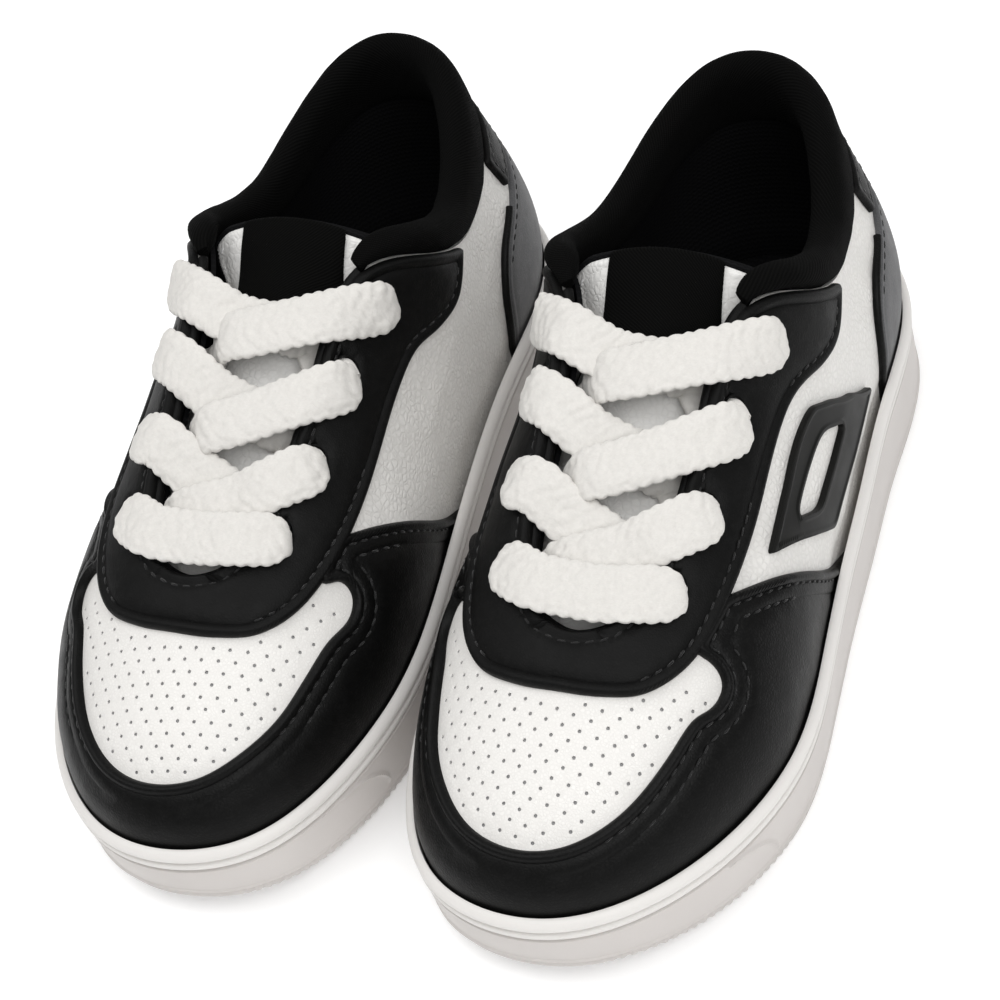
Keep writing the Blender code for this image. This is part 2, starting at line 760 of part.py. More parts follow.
def sweep(places, sides=6):
    """A flat tube through the places, lying flat to the way each place faces."""
    middles = [p[0] for p in places]
    rings = []
    last = None
    for k, (place, facing, width, thick) in enumerate(places):
        ahead = middles[min(k + 1, len(places) - 1)] - middles[max(k - 1, 0)]
        ahead = ahead / np.linalg.norm(ahead)
        normal = facing - ahead * (facing @ ahead)
        normal /= np.linalg.norm(normal)
        if last is not None and normal @ last < 0:
            normal = -normal
        last = normal
        wide = np.cross(ahead, normal)
        turns = [2 * math.pi * (n + 0.5) / sides for n in range(sides)]
        half = width / 2 / math.cos(math.pi / sides)
        rings.append([place + wide * half * math.cos(a) + normal * thick / 2 * math.sin(a) for a in turns])
    return loft(rings)


def make_aglet(skin, side):
    """The hard tip on a lace end."""
    start, end = Lace(skin).tail(side)
    ahead = (end - start) / np.linalg.norm(end - start)
    places = [(end + ahead * s, np.array((1.0, 0.0, 0.0)), 3.2, 3.2) for s in (GAP, 12.0)]
    return sweep(places)


def shoe_parts(skin):
    """Every sub-part of a shoe, except the lace and the tongue's: name to (mesh, look)."""
    parts = {
        "cupsole": (make_cupsole(), "rubber"),
        "midsole_foam": (make_midsole(), "foam"),
        "insole_board": (make_board(), "board"),
        "sockliner": (make_sockliner(), "black_textile"),
        "toe_box": (make_toe_box(skin), "white_leather"),
        "toe_guard": (make_toe_guard(skin), "black_leather"),
        "eyestay": (make_eyestay(skin), "black_leather"),
        "heel_counter_cover": (make_counter_cover(skin), "gray_leather"),
        "heel_tab": (make_heel_tab(skin), "black_leather"),
        "side_badge": (make_badge(skin), "black_leather"),
        "heel_stiffener": (make_stiffener(skin), "stiffener"),
        "toe_puff": (make_toe_puff(skin), "stiffener"),
        "vamp_lining": (make_vamp_lining(skin), "black_textile"),
        "quarter_lining": (make_quarter_lining(skin), "black_textile"),
        "collar_padding": (make_collar(skin), "black_textile"),
    }
    for side, turn, sign in (("lateral", list, 1), ("medial", inner_side, -1)):
        holes = eyelets_between(3, PANEL_JOIN) if sign > 0 else eyelets_between(-PANEL_JOIN, -3)
        parts[f"quarter_{side}"] = (panel_mesh(skin, turn(quarter_outline()), BASE, holes), "white_leather")
        parts[f"piping_{side}"] = (panel_mesh(skin, turn(piping_outline()), PIPING), "black_leather")
        holes = eyelets_between(3, 8) if sign > 0 else eyelets_between(-8, -3)
        tape = panel_mesh(skin, turn(tape_outline()), STIFFENER, holes)
        parts[f"eyelet_tape_{side}"] = (tape, "black_textile")
        parts[f"aglet_{side}"] = (make_aglet(skin, sign), "aglet")
    return parts


def tongue_parts():
    """The tongue's sub-parts: name to (mesh, look)."""
    tongue = Sheet(np.linspace(-1, 1, 7), np.linspace(0, 1.2, 9), tongue_point, tongue_normal, (22.0, 90.0))
    return {
        "tongue_face": (panel_mesh(tongue, tongue_outline(1.0, 0.0, 1.0), TONGUE_FACE), "white_leather"),
        "tongue_foam": (panel_mesh(tongue, tongue_outline(0.93, 0.04, 0.99), TONGUE_FOAM), "foam"),
        "tongue_lining": (panel_mesh(tongue, tongue_outline(0.98, 0.0, 0.995), TONGUE_BACK), "black_textile"),
        "tongue_strap": (make_tongue_strap(tongue), "black_textile"),
    }


def material(name, look):
    """A plain surface with this look's colour and roughness."""
    made = bpy.data.materials.new(name)
    made.use_nodes = True
    shader = made.node_tree.nodes["Principled BSDF"]
    colour, roughness = LOOKS[look]
    shader.inputs["Base Color"].default_value = (*colour, 1.0)
    shader.inputs["Roughness"].default_value = roughness
    made.diffuse_color = (*colour, 1.0)
    return made


def add_part(name, shape, look, parent, origin, collection, side):
    """One closed solid: side is 1 on the left shoe, and -1 on the right one, its mirror image."""
    points, faces = shape
    mesh = bpy.data.meshes.new(name)
    placed = [(np.asarray(p) * (side, 1, 1) - origin) * MM for p in points]
    mesh.from_pydata([tuple(p) for p in placed], [], [tuple(f) for f in faces])
    edit = bmesh.new()
    edit.from_mesh(mesh)
    bmesh.ops.triangulate(edit, faces=edit.faces)
    bmesh.ops.recalc_face_normals(edit, faces=edit.faces)
    if edit.calc_volume(signed=True) < 0:
        bmesh.ops.reverse_faces(edit, faces=edit.faces)
    edit.to_mesh(mesh)
    edit.free()
    mesh.shade_smooth()
    mesh.set_sharp_from_angle(angle=math.radians(35))
    mesh.materials.append(material(name, look))
    part = bpy.data.objects.new(name, mesh)
    part.parent = parent
    collection.objects.link(part)


def add_pivot(name, place, parent, collection):
    pivot = bpy.data.objects.new(name, None)
    pivot.empty_display_size = 20 * MM
    pivot.location = tuple(x * MM for x in place)
    pivot.parent = parent
    collection.objects.link(pivot)
    return pivot


def clear_scene():
    for obj in list(bpy.data.objects):
        bpy.data.objects.remove(obj, do_unlink=True)


def main():
    clear_scene()
    collection = bpy.data.collections.new("cheer_shoes")
    bpy.context.scene.collection.children.link(collection)
    skin = Sheet(grid_stations(-8, ROUND - 4), T_ROWS, skin_point, skin_normal, (U_SCALE, T_SCALE))
    body, tongue = shoe_parts(skin), tongue_parts()
    for prefix, side in (("left", 1), ("right", -1)):
        body["lace"] = (make_lace(skin, -side), "lace")
        shoe = add_pivot(f"{prefix}_shoe", (side * SHOE_X, SHOE_Y, 0), None, collection)
        hinge = add_pivot(f"{prefix}_tongue_hinge", TONGUE_HINGE, shoe, collection)
        for name, (shape, look) in body.items():
            add_part(f"{prefix}_{name}", shape, look, shoe, np.zeros(3), collection, side)
        for name, (shape, look) in tongue.items():
            add_part(f"{prefix}_{name}", shape, look, hinge, np.asarray(TONGUE_HINGE), collection, side)


main()
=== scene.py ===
import math

import bpy
import numpy as np
from mathutils import Matrix, Vector, noise
from mathutils.geometry import delaunay_2d_cdt


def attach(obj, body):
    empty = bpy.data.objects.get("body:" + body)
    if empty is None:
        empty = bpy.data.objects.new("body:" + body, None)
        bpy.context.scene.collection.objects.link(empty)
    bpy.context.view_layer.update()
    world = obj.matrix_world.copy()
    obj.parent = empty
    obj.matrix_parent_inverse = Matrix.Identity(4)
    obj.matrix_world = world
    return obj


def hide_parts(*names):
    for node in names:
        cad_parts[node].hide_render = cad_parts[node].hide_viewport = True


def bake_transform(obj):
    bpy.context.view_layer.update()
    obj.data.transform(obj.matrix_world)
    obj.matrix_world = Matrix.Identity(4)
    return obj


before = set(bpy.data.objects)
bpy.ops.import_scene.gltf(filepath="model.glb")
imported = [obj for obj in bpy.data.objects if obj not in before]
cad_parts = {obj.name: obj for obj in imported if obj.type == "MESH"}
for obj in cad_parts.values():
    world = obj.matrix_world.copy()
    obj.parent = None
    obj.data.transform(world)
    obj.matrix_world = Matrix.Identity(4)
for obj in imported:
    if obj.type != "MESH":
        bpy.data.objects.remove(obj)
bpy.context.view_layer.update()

MM = 0.001
PAIR = (("left", 1), ("right", -1))
SHOE_X, SHOE_Y = 42.4, 0.2
UP = np.array([0.0, 0.0, 1.0])

# ---------------------------------------------------------------- the shoe's own shape, in millimetres
# Stations from the back of the heel round the outer side, the toe and the inner side: the feather line's x
# and y, the mouth's x, y and z, and the skin's handles between them (out and up at the feather, out and down
# at the mouth).
STATIONS = (
    (2, 97, 1, 88, 80.5, 4, 18, 1, 16),
    (19, 91, 13, 83.5, 78.5, 4, 18, 1, 15),
    (29.5, 71, 21.5, 68, 71.5, 4, 16, 2, 14),
    (31, 44, 26, 47, 66.5, 3, 14, 2, 14),
    (32.5, 18, 26, 26, 76, 2, 16, 3, 18),
    (34, -7, 17.5, 10, 80, 1, 20, 7, 14),
    (36, -30, 14.5, -14, 68.5, 1, 19, 9, 8),
    (36, -53, 13, -36, 59.5, 1, 16, 9, 4),
    (27.5, -76, 9, -49.5, 55, 1, 14, 9, 4),
    (13, -92.5, 4.5, -53.5, 53.5, 0, 13, 11, 4),
    (-3, -98, 0, -54.5, 53, 0, 13, 12, 4),
    (-19, -93, -4.5, -53.5, 53.5, 0, 13, 11, 4),
    (-29.5, -77, -9, -49.5, 55, 1, 14, 9, 4),
    (-35, -53, -13, -36, 59.5, 1, 16, 8.5, 4),
    (-34.5, -30, -14.5, -14, 68.5, 1, 19, 8.5, 8),
    (-31.5, -7, -17.5, 10, 80, 1, 20, 6, 14),
    (-28.5, 18, -26, 26, 77, 2, 16, 3, 18),
    (-27, 44, -25, 47, 67.5, 3, 14, 2, 14),
    (-26, 71, -19.5, 68, 72, 4, 16, 2, 14),
    (-16, 91, -11, 83.5, 78.5, 4, 18, 1, 15),
)
ROUND, TOE = len(STATIONS), len(STATIONS) // 2
TOE_Y, HEEL_Y = -98.0, 97.0
RIM_OUT, WALL_IN, TURN_UNDER = 4.6, 3.1, 8.5
BOARD, SOCKLINER, GAP, SOLE_FLOOR = 1.2, 4.0, 0.3, 4.5
STRAIGHT = 50.0  # millimetres for one unit of height below the feather line
EYELETS = ((7.28, 0.865), (6.45, 0.865), (5.65, 0.86), (4.95, 0.855))
EYELET_R = 2.7
COLLAR_EDGE = ((0.0, 0.76), (1.4, 0.76), (2.26, 0.78), (2.88, 0.86), (3.46, 0.91), (4.28, 0.97), (4.9, 1.0))
COLLAR_ENDS = 4.75
T_LOW, MOUTH_EDGE, EDGE = -0.17, 0.995, 0.012
PANEL_JOIN = 6.92


def between(p, q, r, w, s):
    """The smooth curve from q at s = 0 to r at s = 1, with p before them and w after them."""
    bend = 2 * p - 5 * q + 4 * r - w
    twist = 3 * q - 3 * r + w - p
    return 0.5 * (2 * q + (r - p) * s + bend * s**2 + twist * s**3)


def turns(count):
    """Equal angles round one full turn."""
    return 2 * math.pi * np.arange(count) / count


def closed_spline(rows):
    """A smooth closed curve through rows, as a function of an array of station numbers."""
    rows = np.asarray(rows, float)
    count = len(rows)
    system = 4 * np.eye(count) + np.roll(np.eye(count), 1, 0) + np.roll(np.eye(count), -1, 0)
    slopes = np.linalg.solve(system, 3 * (np.roll(rows, -1, 0) - np.roll(rows, 1, 0)))

    def at(u):
        u = np.asarray(u, float)
        whole = np.floor(u).astype(int)
        s = (u - whole)[..., None]
        i, j = whole % count, (whole + 1) % count
        return (
            rows[i] * (1 + 2 * s) * (1 - s) ** 2
            + slopes[i] * s * (1 - s) ** 2
            + rows[j] * s * s * (3 - 2 * s)
            + slopes[j] * s * s * (s - 1)
        )

    return at


station = closed_spline(STATIONS)


def unit(v):
    """The vectors made one unit long."""
    return v / np.linalg.norm(v, axis=-1, keepdims=True)


def outward(u):
    """The plan direction out of the shoe at the feather line."""
    u = np.asarray(u, float)
    along = unit(station(u + 1e-3)[..., :2] - station(u - 1e-3)[..., :2])
    return np.stack([-along[..., 1], along[..., 0], np.zeros(along.shape[:-1])], -1)


def rim_height(y):
    """How high the cupsole's rim stands."""
    along = (np.asarray(y, float) - TOE_Y) / (HEEL_Y - TOE_Y)
    return 21.5 + 3.5 * along + 2.5 * np.clip((0.3 - along) / 0.3, 0, None) ** 2


def ground_height(y):
    """How far the sole springs up off the floor, toward the toe."""
    return 6.5 * np.clip((-50.0 - np.asarray(y, float)) / 48.0, 0, None) ** 2


def ground_out(y):
    """How far past the feather line the sole's foot reaches."""
    return np.interp(y, (TOE_Y, -60, 0, 60, HEEL_Y), (3.2, 3.4, 4.0, 5.0, 5.5))


def board_top(y):
    """The height of the insole board's upper face."""
    return rim_height(y) - TURN_UNDER - GAP


class Skin:
    """The upper's skin: station a round the shoe, and height b from 0 at the feather to 1 at the mouth."""

    scale = (18.0, 50.0)  # about how many millimetres one unit of a and of b is long

    def point(self, a, b):
        """The places of (a, b)."""
        a, b = np.broadcast_arrays(np.asarray(a, float), np.asarray(b, float))
        row, out = station(a), outward(a)
        feather = np.stack([row[..., 0], row[..., 1], rim_height(row[..., 1])], -1)
        mouth = row[..., 2:5]
        low = feather + out * row[..., 5:6] + UP * row[..., 6:7]
        high = mouth + out * row[..., 7:8] - UP * row[..., 8:9]
        t = np.clip(b, 0, 1)[..., None]
        s = 1 - t
        place = feather * s**3 + 3 * low * t * s * s + 3 * high * t * t * s + mouth * t**3
        place = place + UP * (np.minimum(b, 0) * STRAIGHT)[..., None]
        return place + (mouth - high) * 3 * np.maximum(b - 1, 0)[..., None]

    def normal(self, a, b):
        """The way out of the surface at (a, b)."""
        a, b = np.broadcast_arrays(np.asarray(a, float), np.asarray(b, float))
        low = np.clip(b - 1e-3, 0, 1)
        along = self.point(a + 1e-3, b) - self.point(a - 1e-3, b)
        rise = self.point(a, low + 2e-3) - self.point(a, low)
        return unit(np.cross(rise, along))

    def at(self, a, b, out):
        """The places of (a, b), raised by out."""
        out = np.asarray(out, float)
        return self.point(a, b) + self.normal(a, b) * out[..., None]

    def one(self, a, b, out=0.0):
        """The place of a single (a, b), raised by out."""
        return self.at(np.array([a]), np.array([b]), np.array([out]))[0]

    def spots(self, uv):
        """The places of rows of (a, b)."""
        return self.point(uv[:, 0], uv[:, 1])

    def normals(self, uv):
        """The ways out of the surface at rows of (a, b)."""
        return self.normal(uv[:, 0], uv[:, 1])


TONGUE_LINE = np.array((
    (-60, 43.0, 14, 1.5),
    (-48, 48.0, 17, 3.5),
    (-34, 54.5, 20, 6.0),
    (-16, 62.0, 21, 9.0),
    (0, 69.5, 19.0, 11.0),
    (12, 76.0, 17.0, 11.0),
    (19, 81.0, 20.8, 8.6),
    (22.6, 83.5, 22.0, 6.4),
))


class Tongue(Skin):
    """The tongue's outer face: a from -1 to 1 across, b from 0 at the seam to 1 at the top."""

    scale = (19.0, 95.0)

    def point(self, a, b):
        """The places of (a, b)."""
        a, b = np.broadcast_arrays(np.asarray(a, float), np.asarray(b, float))
        rows = TONGUE_LINE
        x = b * (len(rows) - 1)
        i = np.clip(np.floor(x).astype(int), 0, len(rows) - 2)
        s = (x - i)[..., None]
        ends = np.vstack((2 * rows[0] - rows[1], rows, 2 * rows[-1] - rows[-2]))
        p, q, r, w = ends[i], ends[i + 1], ends[i + 2], ends[i + 3]
        bent = between(p, q, r, w, s)
        row = np.where((x > len(rows) - 1)[..., None], q + (r - q) * s, bent)
        row = np.where((x < 0)[..., None], q + (r - q) * s, row)
        return np.stack([a * row[..., 2], row[..., 0], row[..., 1] - row[..., 3] * a * a], -1)

    def normal(self, a, b):
        """The way out of the surface at (a, b)."""
        a, b = np.broadcast_arrays(np.asarray(a, float), np.asarray(b, float))
        rise = self.point(a, b + 0.01) - self.point(a, b - 0.01)
        across = self.point(a + 0.01, b) - self.point(a - 0.01, b)
        return unit(np.cross(across, rise))


SKIN, TONGUE = Skin(), Tongue()

# ---------------------------------------------------------------- outlines and panels


def catmull(points, steps):
    """Points of a smooth open curve through the given points."""
    rows = np.asarray(points, float)
    if len(rows) < 3:
        return rows[0] + (rows[-1] - rows[0]) * np.linspace(0, 1, steps + 1)[:, None]
    ends = np.vstack((2 * rows[0] - rows[1], rows, 2 * rows[-1] - rows[-2]))
    s = np.linspace(0, 1, steps, endpoint=False)[:, None]
    made = [between(p, q, r, w, s) for p, q, r, w in zip(ends, ends[1:], ends[2:], ends[3:])]
    return np.vstack(made + [rows[-1:]])


def lengths(points):
    """Distance along a polyline at each of its points."""
    return np.concatenate([[0], np.cumsum(np.linalg.norm(np.diff(points, axis=0), axis=1))])


def respace(surface, uv, step):
    """The polyline uv with points step millimetres apart on the surface."""
    along = lengths(surface.spots(uv))
    count = max(1, int(round(along[-1] / step)))
    places = np.linspace(0, along[-1], count + 1)
    return np.stack([np.interp(places, along, uv[:, k]) for k in (0, 1)], -1)


def anticlockwise(loop):
    """The loop, turned round if it runs clockwise."""
    area = np.sum(loop[:, 0] * np.roll(loop[:, 1], -1) - np.roll(loop[:, 0], -1) * loop[:, 1])
    return loop if area > 0 else loop[::-1]


def closed_outline(surface, runs, step, soften=2):
    """One closed loop from smooth runs that meet at corners, with the corners softened a little."""
    parts = [respace(surface, catmull(run, 14), step)[:-1] for run in runs]
    loop = np.vstack(parts)
    loop = loop[np.abs(loop - np.roll(loop, 1, 0)).max(1) > 1e-6]
    for _ in range(soften):
        loop = 0.25 * np.roll(loop, 1, 0) + 0.5 * loop + 0.25 * np.roll(loop, -1, 0)
    return anticlockwise(loop)


def slopes(surface, uv):
    """How the place changes with a and with b."""
    step = 1e-3
    a, b = uv[:, 0], uv[:, 1]
    du = (surface.point(a + step, b) - surface.point(a - step, b)) / (2 * step)
    dv = (surface.point(a, b + step) - surface.point(a, b - step)) / (2 * step)
    return du, dv


def shift(surface, uv, moves):
    """uv moved over the surface by the 3D moves."""
    du, dv = slopes(surface, uv)
    uu, uw, ww = (du * du).sum(-1), (du * dv).sum(-1), (dv * dv).sum(-1)
    p, q = (du * moves).sum(-1), (dv * moves).sum(-1)
    det = uu * ww - uw * uw
    return uv + np.stack([(ww * p - uw * q) / det, (uu * q - uw * p) / det], -1)


def inset(surface, loop, distance):
    """The loop moved inward by a distance; a loop runs anticlockwise in (a, b)."""
    ahead = np.roll(loop, -1, 0) - np.roll(loop, 1, 0)
    du, dv = slopes(surface, loop)
    tangent = unit(du * ahead[:, :1] + dv * ahead[:, 1:])
    side = np.cross(unit(np.cross(du, dv)), tangent)
    return shift(surface, loop, side * distance)


def distance_to(points, loop):
    """Distance from each 3D point to a closed 3D polyline."""
    best = np.empty(len(points))
    after = np.roll(loop, -1, 0) - loop
    size = (after * after).sum(-1)
    for first in range(0, len(points), 2000):
        part = points[first : first + 2000]
        gaps = part[:, None, :] - loop[None, :, :]
        near = np.argmin((gaps * gaps).sum(-1), 1)
        found = np.full(len(part), 1e9)
        for k in (near, (near - 1) % len(loop)):
            rest = part - loop[k]
            s = np.clip((rest * after[k]).sum(-1) / size[k], 0, 1)
            found = np.minimum(found, np.linalg.norm(rest - after[k] * s[:, None], axis=-1))
        best[first : first + 2000] = found
    return best


def inside(loop, uv):
    """Whether each point of uv lies inside the closed loop."""
    hit = np.zeros(len(uv), bool)
    x, y = uv[:, 0], uv[:, 1]
    for (ax, ay), (bx, by) in zip(loop, np.roll(loop, -1, 0)):
        if ay != by:
            hit ^= ((ay > y) != (by > y)) & (x < (bx - ax) * (y - ay) / (by - ay) + ax)
    return hit


def circle(surface, a, b, radius, sides):
    """A loop this many millimetres round (a, b), lying on the surface."""
    turn = turns(sides)
    uv = np.tile((float(a), float(b)), (sides, 1))
    normal = surface.normals(uv)
    x_axis = unit(surface.point(uv[:, 0] + 1e-3, uv[:, 1]) - surface.spots(uv))
    y_axis = np.cross(normal, x_axis)
    move = x_axis * (radius * np.cos(turn))[:, None] + y_axis * (radius * np.sin(turn))[:, None]
    return anticlockwise(shift(surface, uv, move))


def triangles_between(surface, loops, uv):
    """Triangles inside the first loop and outside the others; uv holds the loops' points, then any more.
    Returns the points, the triangles, and for each point the numbers it had in uv."""
    edges, first = [], 0
    for loop in loops:
        edges += [(first + k, first + (k + 1) % len(loop)) for k in range(len(loop))]
        first += len(loop)
    scaled = [Vector((x, y)) for x, y in np.vstack(uv) * surface.scale]
    found, _, faces, origin, _, _ = delaunay_2d_cdt(scaled, edges, [], 0, 1e-5)
    flat = np.array([(v.x, v.y) for v in found]) / surface.scale
    faces = np.array([tuple(f) for f in faces if len(f) == 3])
    middle = flat[faces].mean(1)
    keep = inside(loops[0], middle)
    for hole in loops[1:]:
        keep &= ~inside(hole, middle)
    return flat, faces[keep], origin


def rounded(distance, radius):
    """How far a rolled edge of this radius falls at each distance in from it."""
    part = np.clip(distance / radius, 0, 1)
    return radius * (1 - np.sqrt(np.clip(1 - (1 - part) ** 2, 0, 1)))


# A punched pore's rings, as (radius, depth) in millimetres, and the depth of its middle.
PORE_RINGS, PORE_DEPTH, PORE_SIDES = ((0.48, 0.0), (0.36, 0.05), (0.3, 0.5)), 0.55, 8


def panel(
    surface, runs, top, bottom, holes=(), roll=0.9, grooves=(), bead=0.0, pitch=1.9, step=0.9, pores=None,
    soften=2, relief=None,
):
    """A leather panel as a closed shell, from top to bottom millimetres out from the surface. Its edge is
    rolled over by roll; grooves are (distance in from the edge, depth) where a seam pulls it down; bead
    raises the turned edge; pores are small punched holes.
    Returns points, triangles, triangle kinds (1 in a pore), (a, b) of the points, and the outline."""
    loop = closed_outline(surface, runs, step, soften)
    loops = [loop] + [circle(surface, a, b, r, 18) for a, b, r in holes]
    place = [surface.spots(each) for each in loops]
    rings = sorted({0.12, 0.35, 0.7, 1.2} | {d + k for d, _ in grooves for k in (-0.45, 0.0, 0.45)})
    if not roll:
        rings = []
    uv = list(loops)
    for distance in rings:
        ring = inset(surface, loop, distance)
        gap = distance_to(surface.spots(ring), place[0])
        keep = (gap > 0.94 * distance) & inside(loop, ring)
        for hole in loops[1:]:
            keep &= ~inside(hole, ring)
        uv.append(ring[keep])
    reach = (max(rings) if rings else 0) + 0.6 * pitch
    da, db = pitch / surface.scale[0], pitch / surface.scale[1] * 0.87
    columns = np.arange(loop[:, 0].min(), loop[:, 0].max(), da)
    rows = np.arange(loop[:, 1].min(), loop[:, 1].max(), db)
    grid = np.array([(x + (k % 2) * da / 2, y) for k, y in enumerate(rows) for x in columns])
    grid = grid[inside(loop, grid)]
    spots = surface.spots(grid)
    keep = distance_to(spots, place[0]) > (reach if rings else 0.6 * pitch)
    for hole, ring in zip(loops[1:], place[1:]):
        near = distance_to(spots, ring) < 0.5 * pitch
        keep &= ~(near | inside(hole, grid))
    depth_of = {}
    if pores is not None and len(pores):
        for centre in surface.spots(pores):
            keep &= np.linalg.norm(spots - centre, axis=1) > 0.8
    uv.append(grid[keep])
    count = sum(len(x) for x in uv)
    if pores is not None:
        for a, b in pores:
            for radius, depth in PORE_RINGS:
                uv.append(circle(surface, a, b, radius, PORE_SIDES))
                depth_of.update((count + k, depth) for k in range(PORE_SIDES))
                count += PORE_SIDES
            uv.append(np.array([[a, b]]))
            depth_of[count] = PORE_DEPTH
            count += 1
    flat, faces, origin = triangles_between(surface, loops, uv)
    spots = surface.spots(flat)
    edge = distance_to(spots, place[0])
    hole_edge = np.full(len(spots), 1e9)
    for ring in place[1:]:
        hole_edge = np.minimum(hole_edge, distance_to(spots, ring))
    height = np.full(len(spots), float(top))
    if roll:
        height -= rounded(edge, roll) + rounded(hole_edge, 0.5)
        height += 0.28 * np.exp(-(((hole_edge - 1.1) / 0.5) ** 2))
        for distance, depth in grooves:
            height -= depth * np.exp(-(((edge - distance) / 0.42) ** 2))
        if bead:
            height += bead * np.exp(-(((edge - 0.95) / 0.75) ** 2))
    if relief is not None:
        height += relief(flat, spots, edge)
    deep = np.zeros(len(spots))
    for k, sources in enumerate(origin):
        for source in sources:
            if source in depth_of:
                deep[k] = max(deep[k], depth_of[source])
    height -= deep
    normals = surface.normals(flat)
    upper = spots + normals * height[:, None]
    lower = spots + normals * bottom
    points, faces, kinds = shell(upper, lower, faces, (deep[faces] > 0.03).all(1))
    return points, faces, kinds, np.vstack((flat, flat)), loop


def shell(upper, lower, faces, kinds=None):
    """Closes two copies of the same triangles with walls round every free edge."""
    count = len(upper)
    ends = np.concatenate([faces[:, [0, 1]], faces[:, [1, 2]], faces[:, [2, 0]]])
    code = ends[:, 0] * count + ends[:, 1]
    back = ends[:, 1] * count + ends[:, 0]
    free = ends[~np.isin(code, back)]
    walls = np.concatenate(
        [
            np.stack([free[:, 1], free[:, 0], free[:, 0] + count], -1),
            np.stack([free[:, 1], free[:, 0] + count, free[:, 1] + count], -1),
        ]
    )
    made = np.concatenate([faces, faces[:, ::-1] + count, walls])
    marks = np.zeros(len(made), int)
    if kinds is not None:
        marks[: len(faces)] = kinds
    return np.concatenate([upper, lower]), made, marks


def ordered(surface, loop, distance, lowest=0.015, window=None):
    """The stretches of the loop's inset at this distance that lie clear of its other edges."""
    ring = inset(surface, loop, distance)
    place = surface.spots(loop)
    keep = distance_to(surface.spots(ring), place) > 0.985 * distance
    keep &= inside(loop, ring)
    keep &= ring[:, 1] > lowest
    if window is not None:
        keep &= window(ring)
    if keep.all():
        return [np.vstack((ring, ring[:1]))]
    start = int(np.argmin(keep))
    ring, keep = np.roll(ring, -start, 0), np.roll(keep, -start)
    runs, now = [], []
    for p, k in zip(ring, keep):
        if k:
            now.append(p)
        elif now:
            runs.append(np.array(now))
            now = []
    if now:
        runs.append(np.array(now))
    return [run for run in runs if len(run) > 4]


STITCH = []  # one stitch's ring of points: (along, radius)
for s in (-1.0, -0.82, -0.4, 0.4, 0.82, 1.0):
    STITCH.append((s, math.sqrt(max(0.0, 1 - abs(s) ** 3))))


def stitch_mesh(surface, uv, height, length=2.0, gap=0.75, radius=0.24):
    """Small sunk stitches along a line on the surface."""
    along = lengths(surface.spots(uv))
    count = int(along[-1] / (length + gap))
    if count < 1:
        return np.zeros((0, 3)), np.zeros((0, 3), int)
    middle = (np.arange(count) + 0.5) * along[-1] / count
    at = lambda s: np.stack([np.interp(s, along, uv[:, k]) for k in (0, 1)], -1)
    here, ahead, behind = at(middle), at(middle + 0.4), at(middle - 0.4)
    place = surface.at(here[:, 0], here[:, 1], np.full(count, height))
    way = unit(surface.spots(ahead) - surface.spots(behind))
    normal = surface.normals(here)
    side = unit(np.cross(normal, way))
    way = unit(way + side * 0.1)
    points, faces = [], []
    sides = 6
    for s, r in STITCH:
        for k in range(sides):
            turn = 2 * math.pi * k / sides
            bow = -0.16 * s * s
            points.append(
                place
                + way * s * length / 2
                + side * (radius * r * math.cos(turn))
                + normal * (radius * r * math.sin(turn) + bow)
            )
    per = len(points)
    rows = len(STITCH)
    for r in range(rows - 1):
        for k in range(sides):
            a, b = r * sides + k, r * sides + (k + 1) % sides
            faces += [(a, b, b + sides), (a, b + sides, a + sides)]
    last = (rows - 1) * sides
    for k in range(1, sides - 1):
        faces += [(0, k + 1, k), (last, last + k, last + k + 1)]
    points = np.stack(points, 1).reshape(-1, 3)
    faces = np.array(faces)
    faces = (faces[None] + (np.arange(count) * per)[:, None, None]).reshape(-1, 3)
    return points, faces


def merged(parts):
    """Several (points, faces) as one."""
    points, faces, first = [], [], 0
    for p, f in parts:
        points.append(p)
        faces.append(np.asarray(f) + first)
        first += len(p)
    return np.vstack(points), np.vstack(faces)


def loft(rings, closed_ends=True, closed_way=False):
    """Triangles between closed rings (rows x count x 3)."""
    rings = np.asarray(rings, float)
    rows, count = rings.shape[:2]
    r = np.arange(rows if closed_way else rows - 1)[:, None]
    k = np.arange(count)[None, :]
    a = r * count + k
    b = r * count + (k + 1) % count
    c = ((r + 1) % rows) * count + (k + 1) % count
    d = ((r + 1) % rows) * count + k
    faces = np.concatenate([np.stack([a, b, c], -1).reshape(-1, 3), np.stack([a, c, d], -1).reshape(-1, 3)])
    points = rings.reshape(-1, 3)
    if closed_ends and not closed_way:
        first, last = rings[0].mean(0), rings[-1].mean(0)
        n = len(points)
        points = np.vstack((points, first, last))
        k = np.arange(count)
        after, top_row = (k + 1) % count, (rows - 1) * count
        low = np.stack([np.full(count, n), after, k], -1)
        high = np.stack([np.full(count, n + 1), top_row + k, top_row + after], -1)
        faces = np.concatenate([faces, low, high])
    return points, faces


def with_ends(weave):
    """The weave coordinates of a loft's rings, with those of its two end points."""
    flat = weave.reshape(-1, 2)
    return np.vstack((flat, flat[:1], flat[-1:]))


# ---------------------------------------------------------------- objects


def volume(points, faces):
    """The signed volume inside a closed surface; it is negative when the triangles face inward."""
    a, b, c = points[faces[:, 0]], points[faces[:, 1]], points[faces[:, 2]]
    return float((a * np.cross(b, c)).sum() / 6)


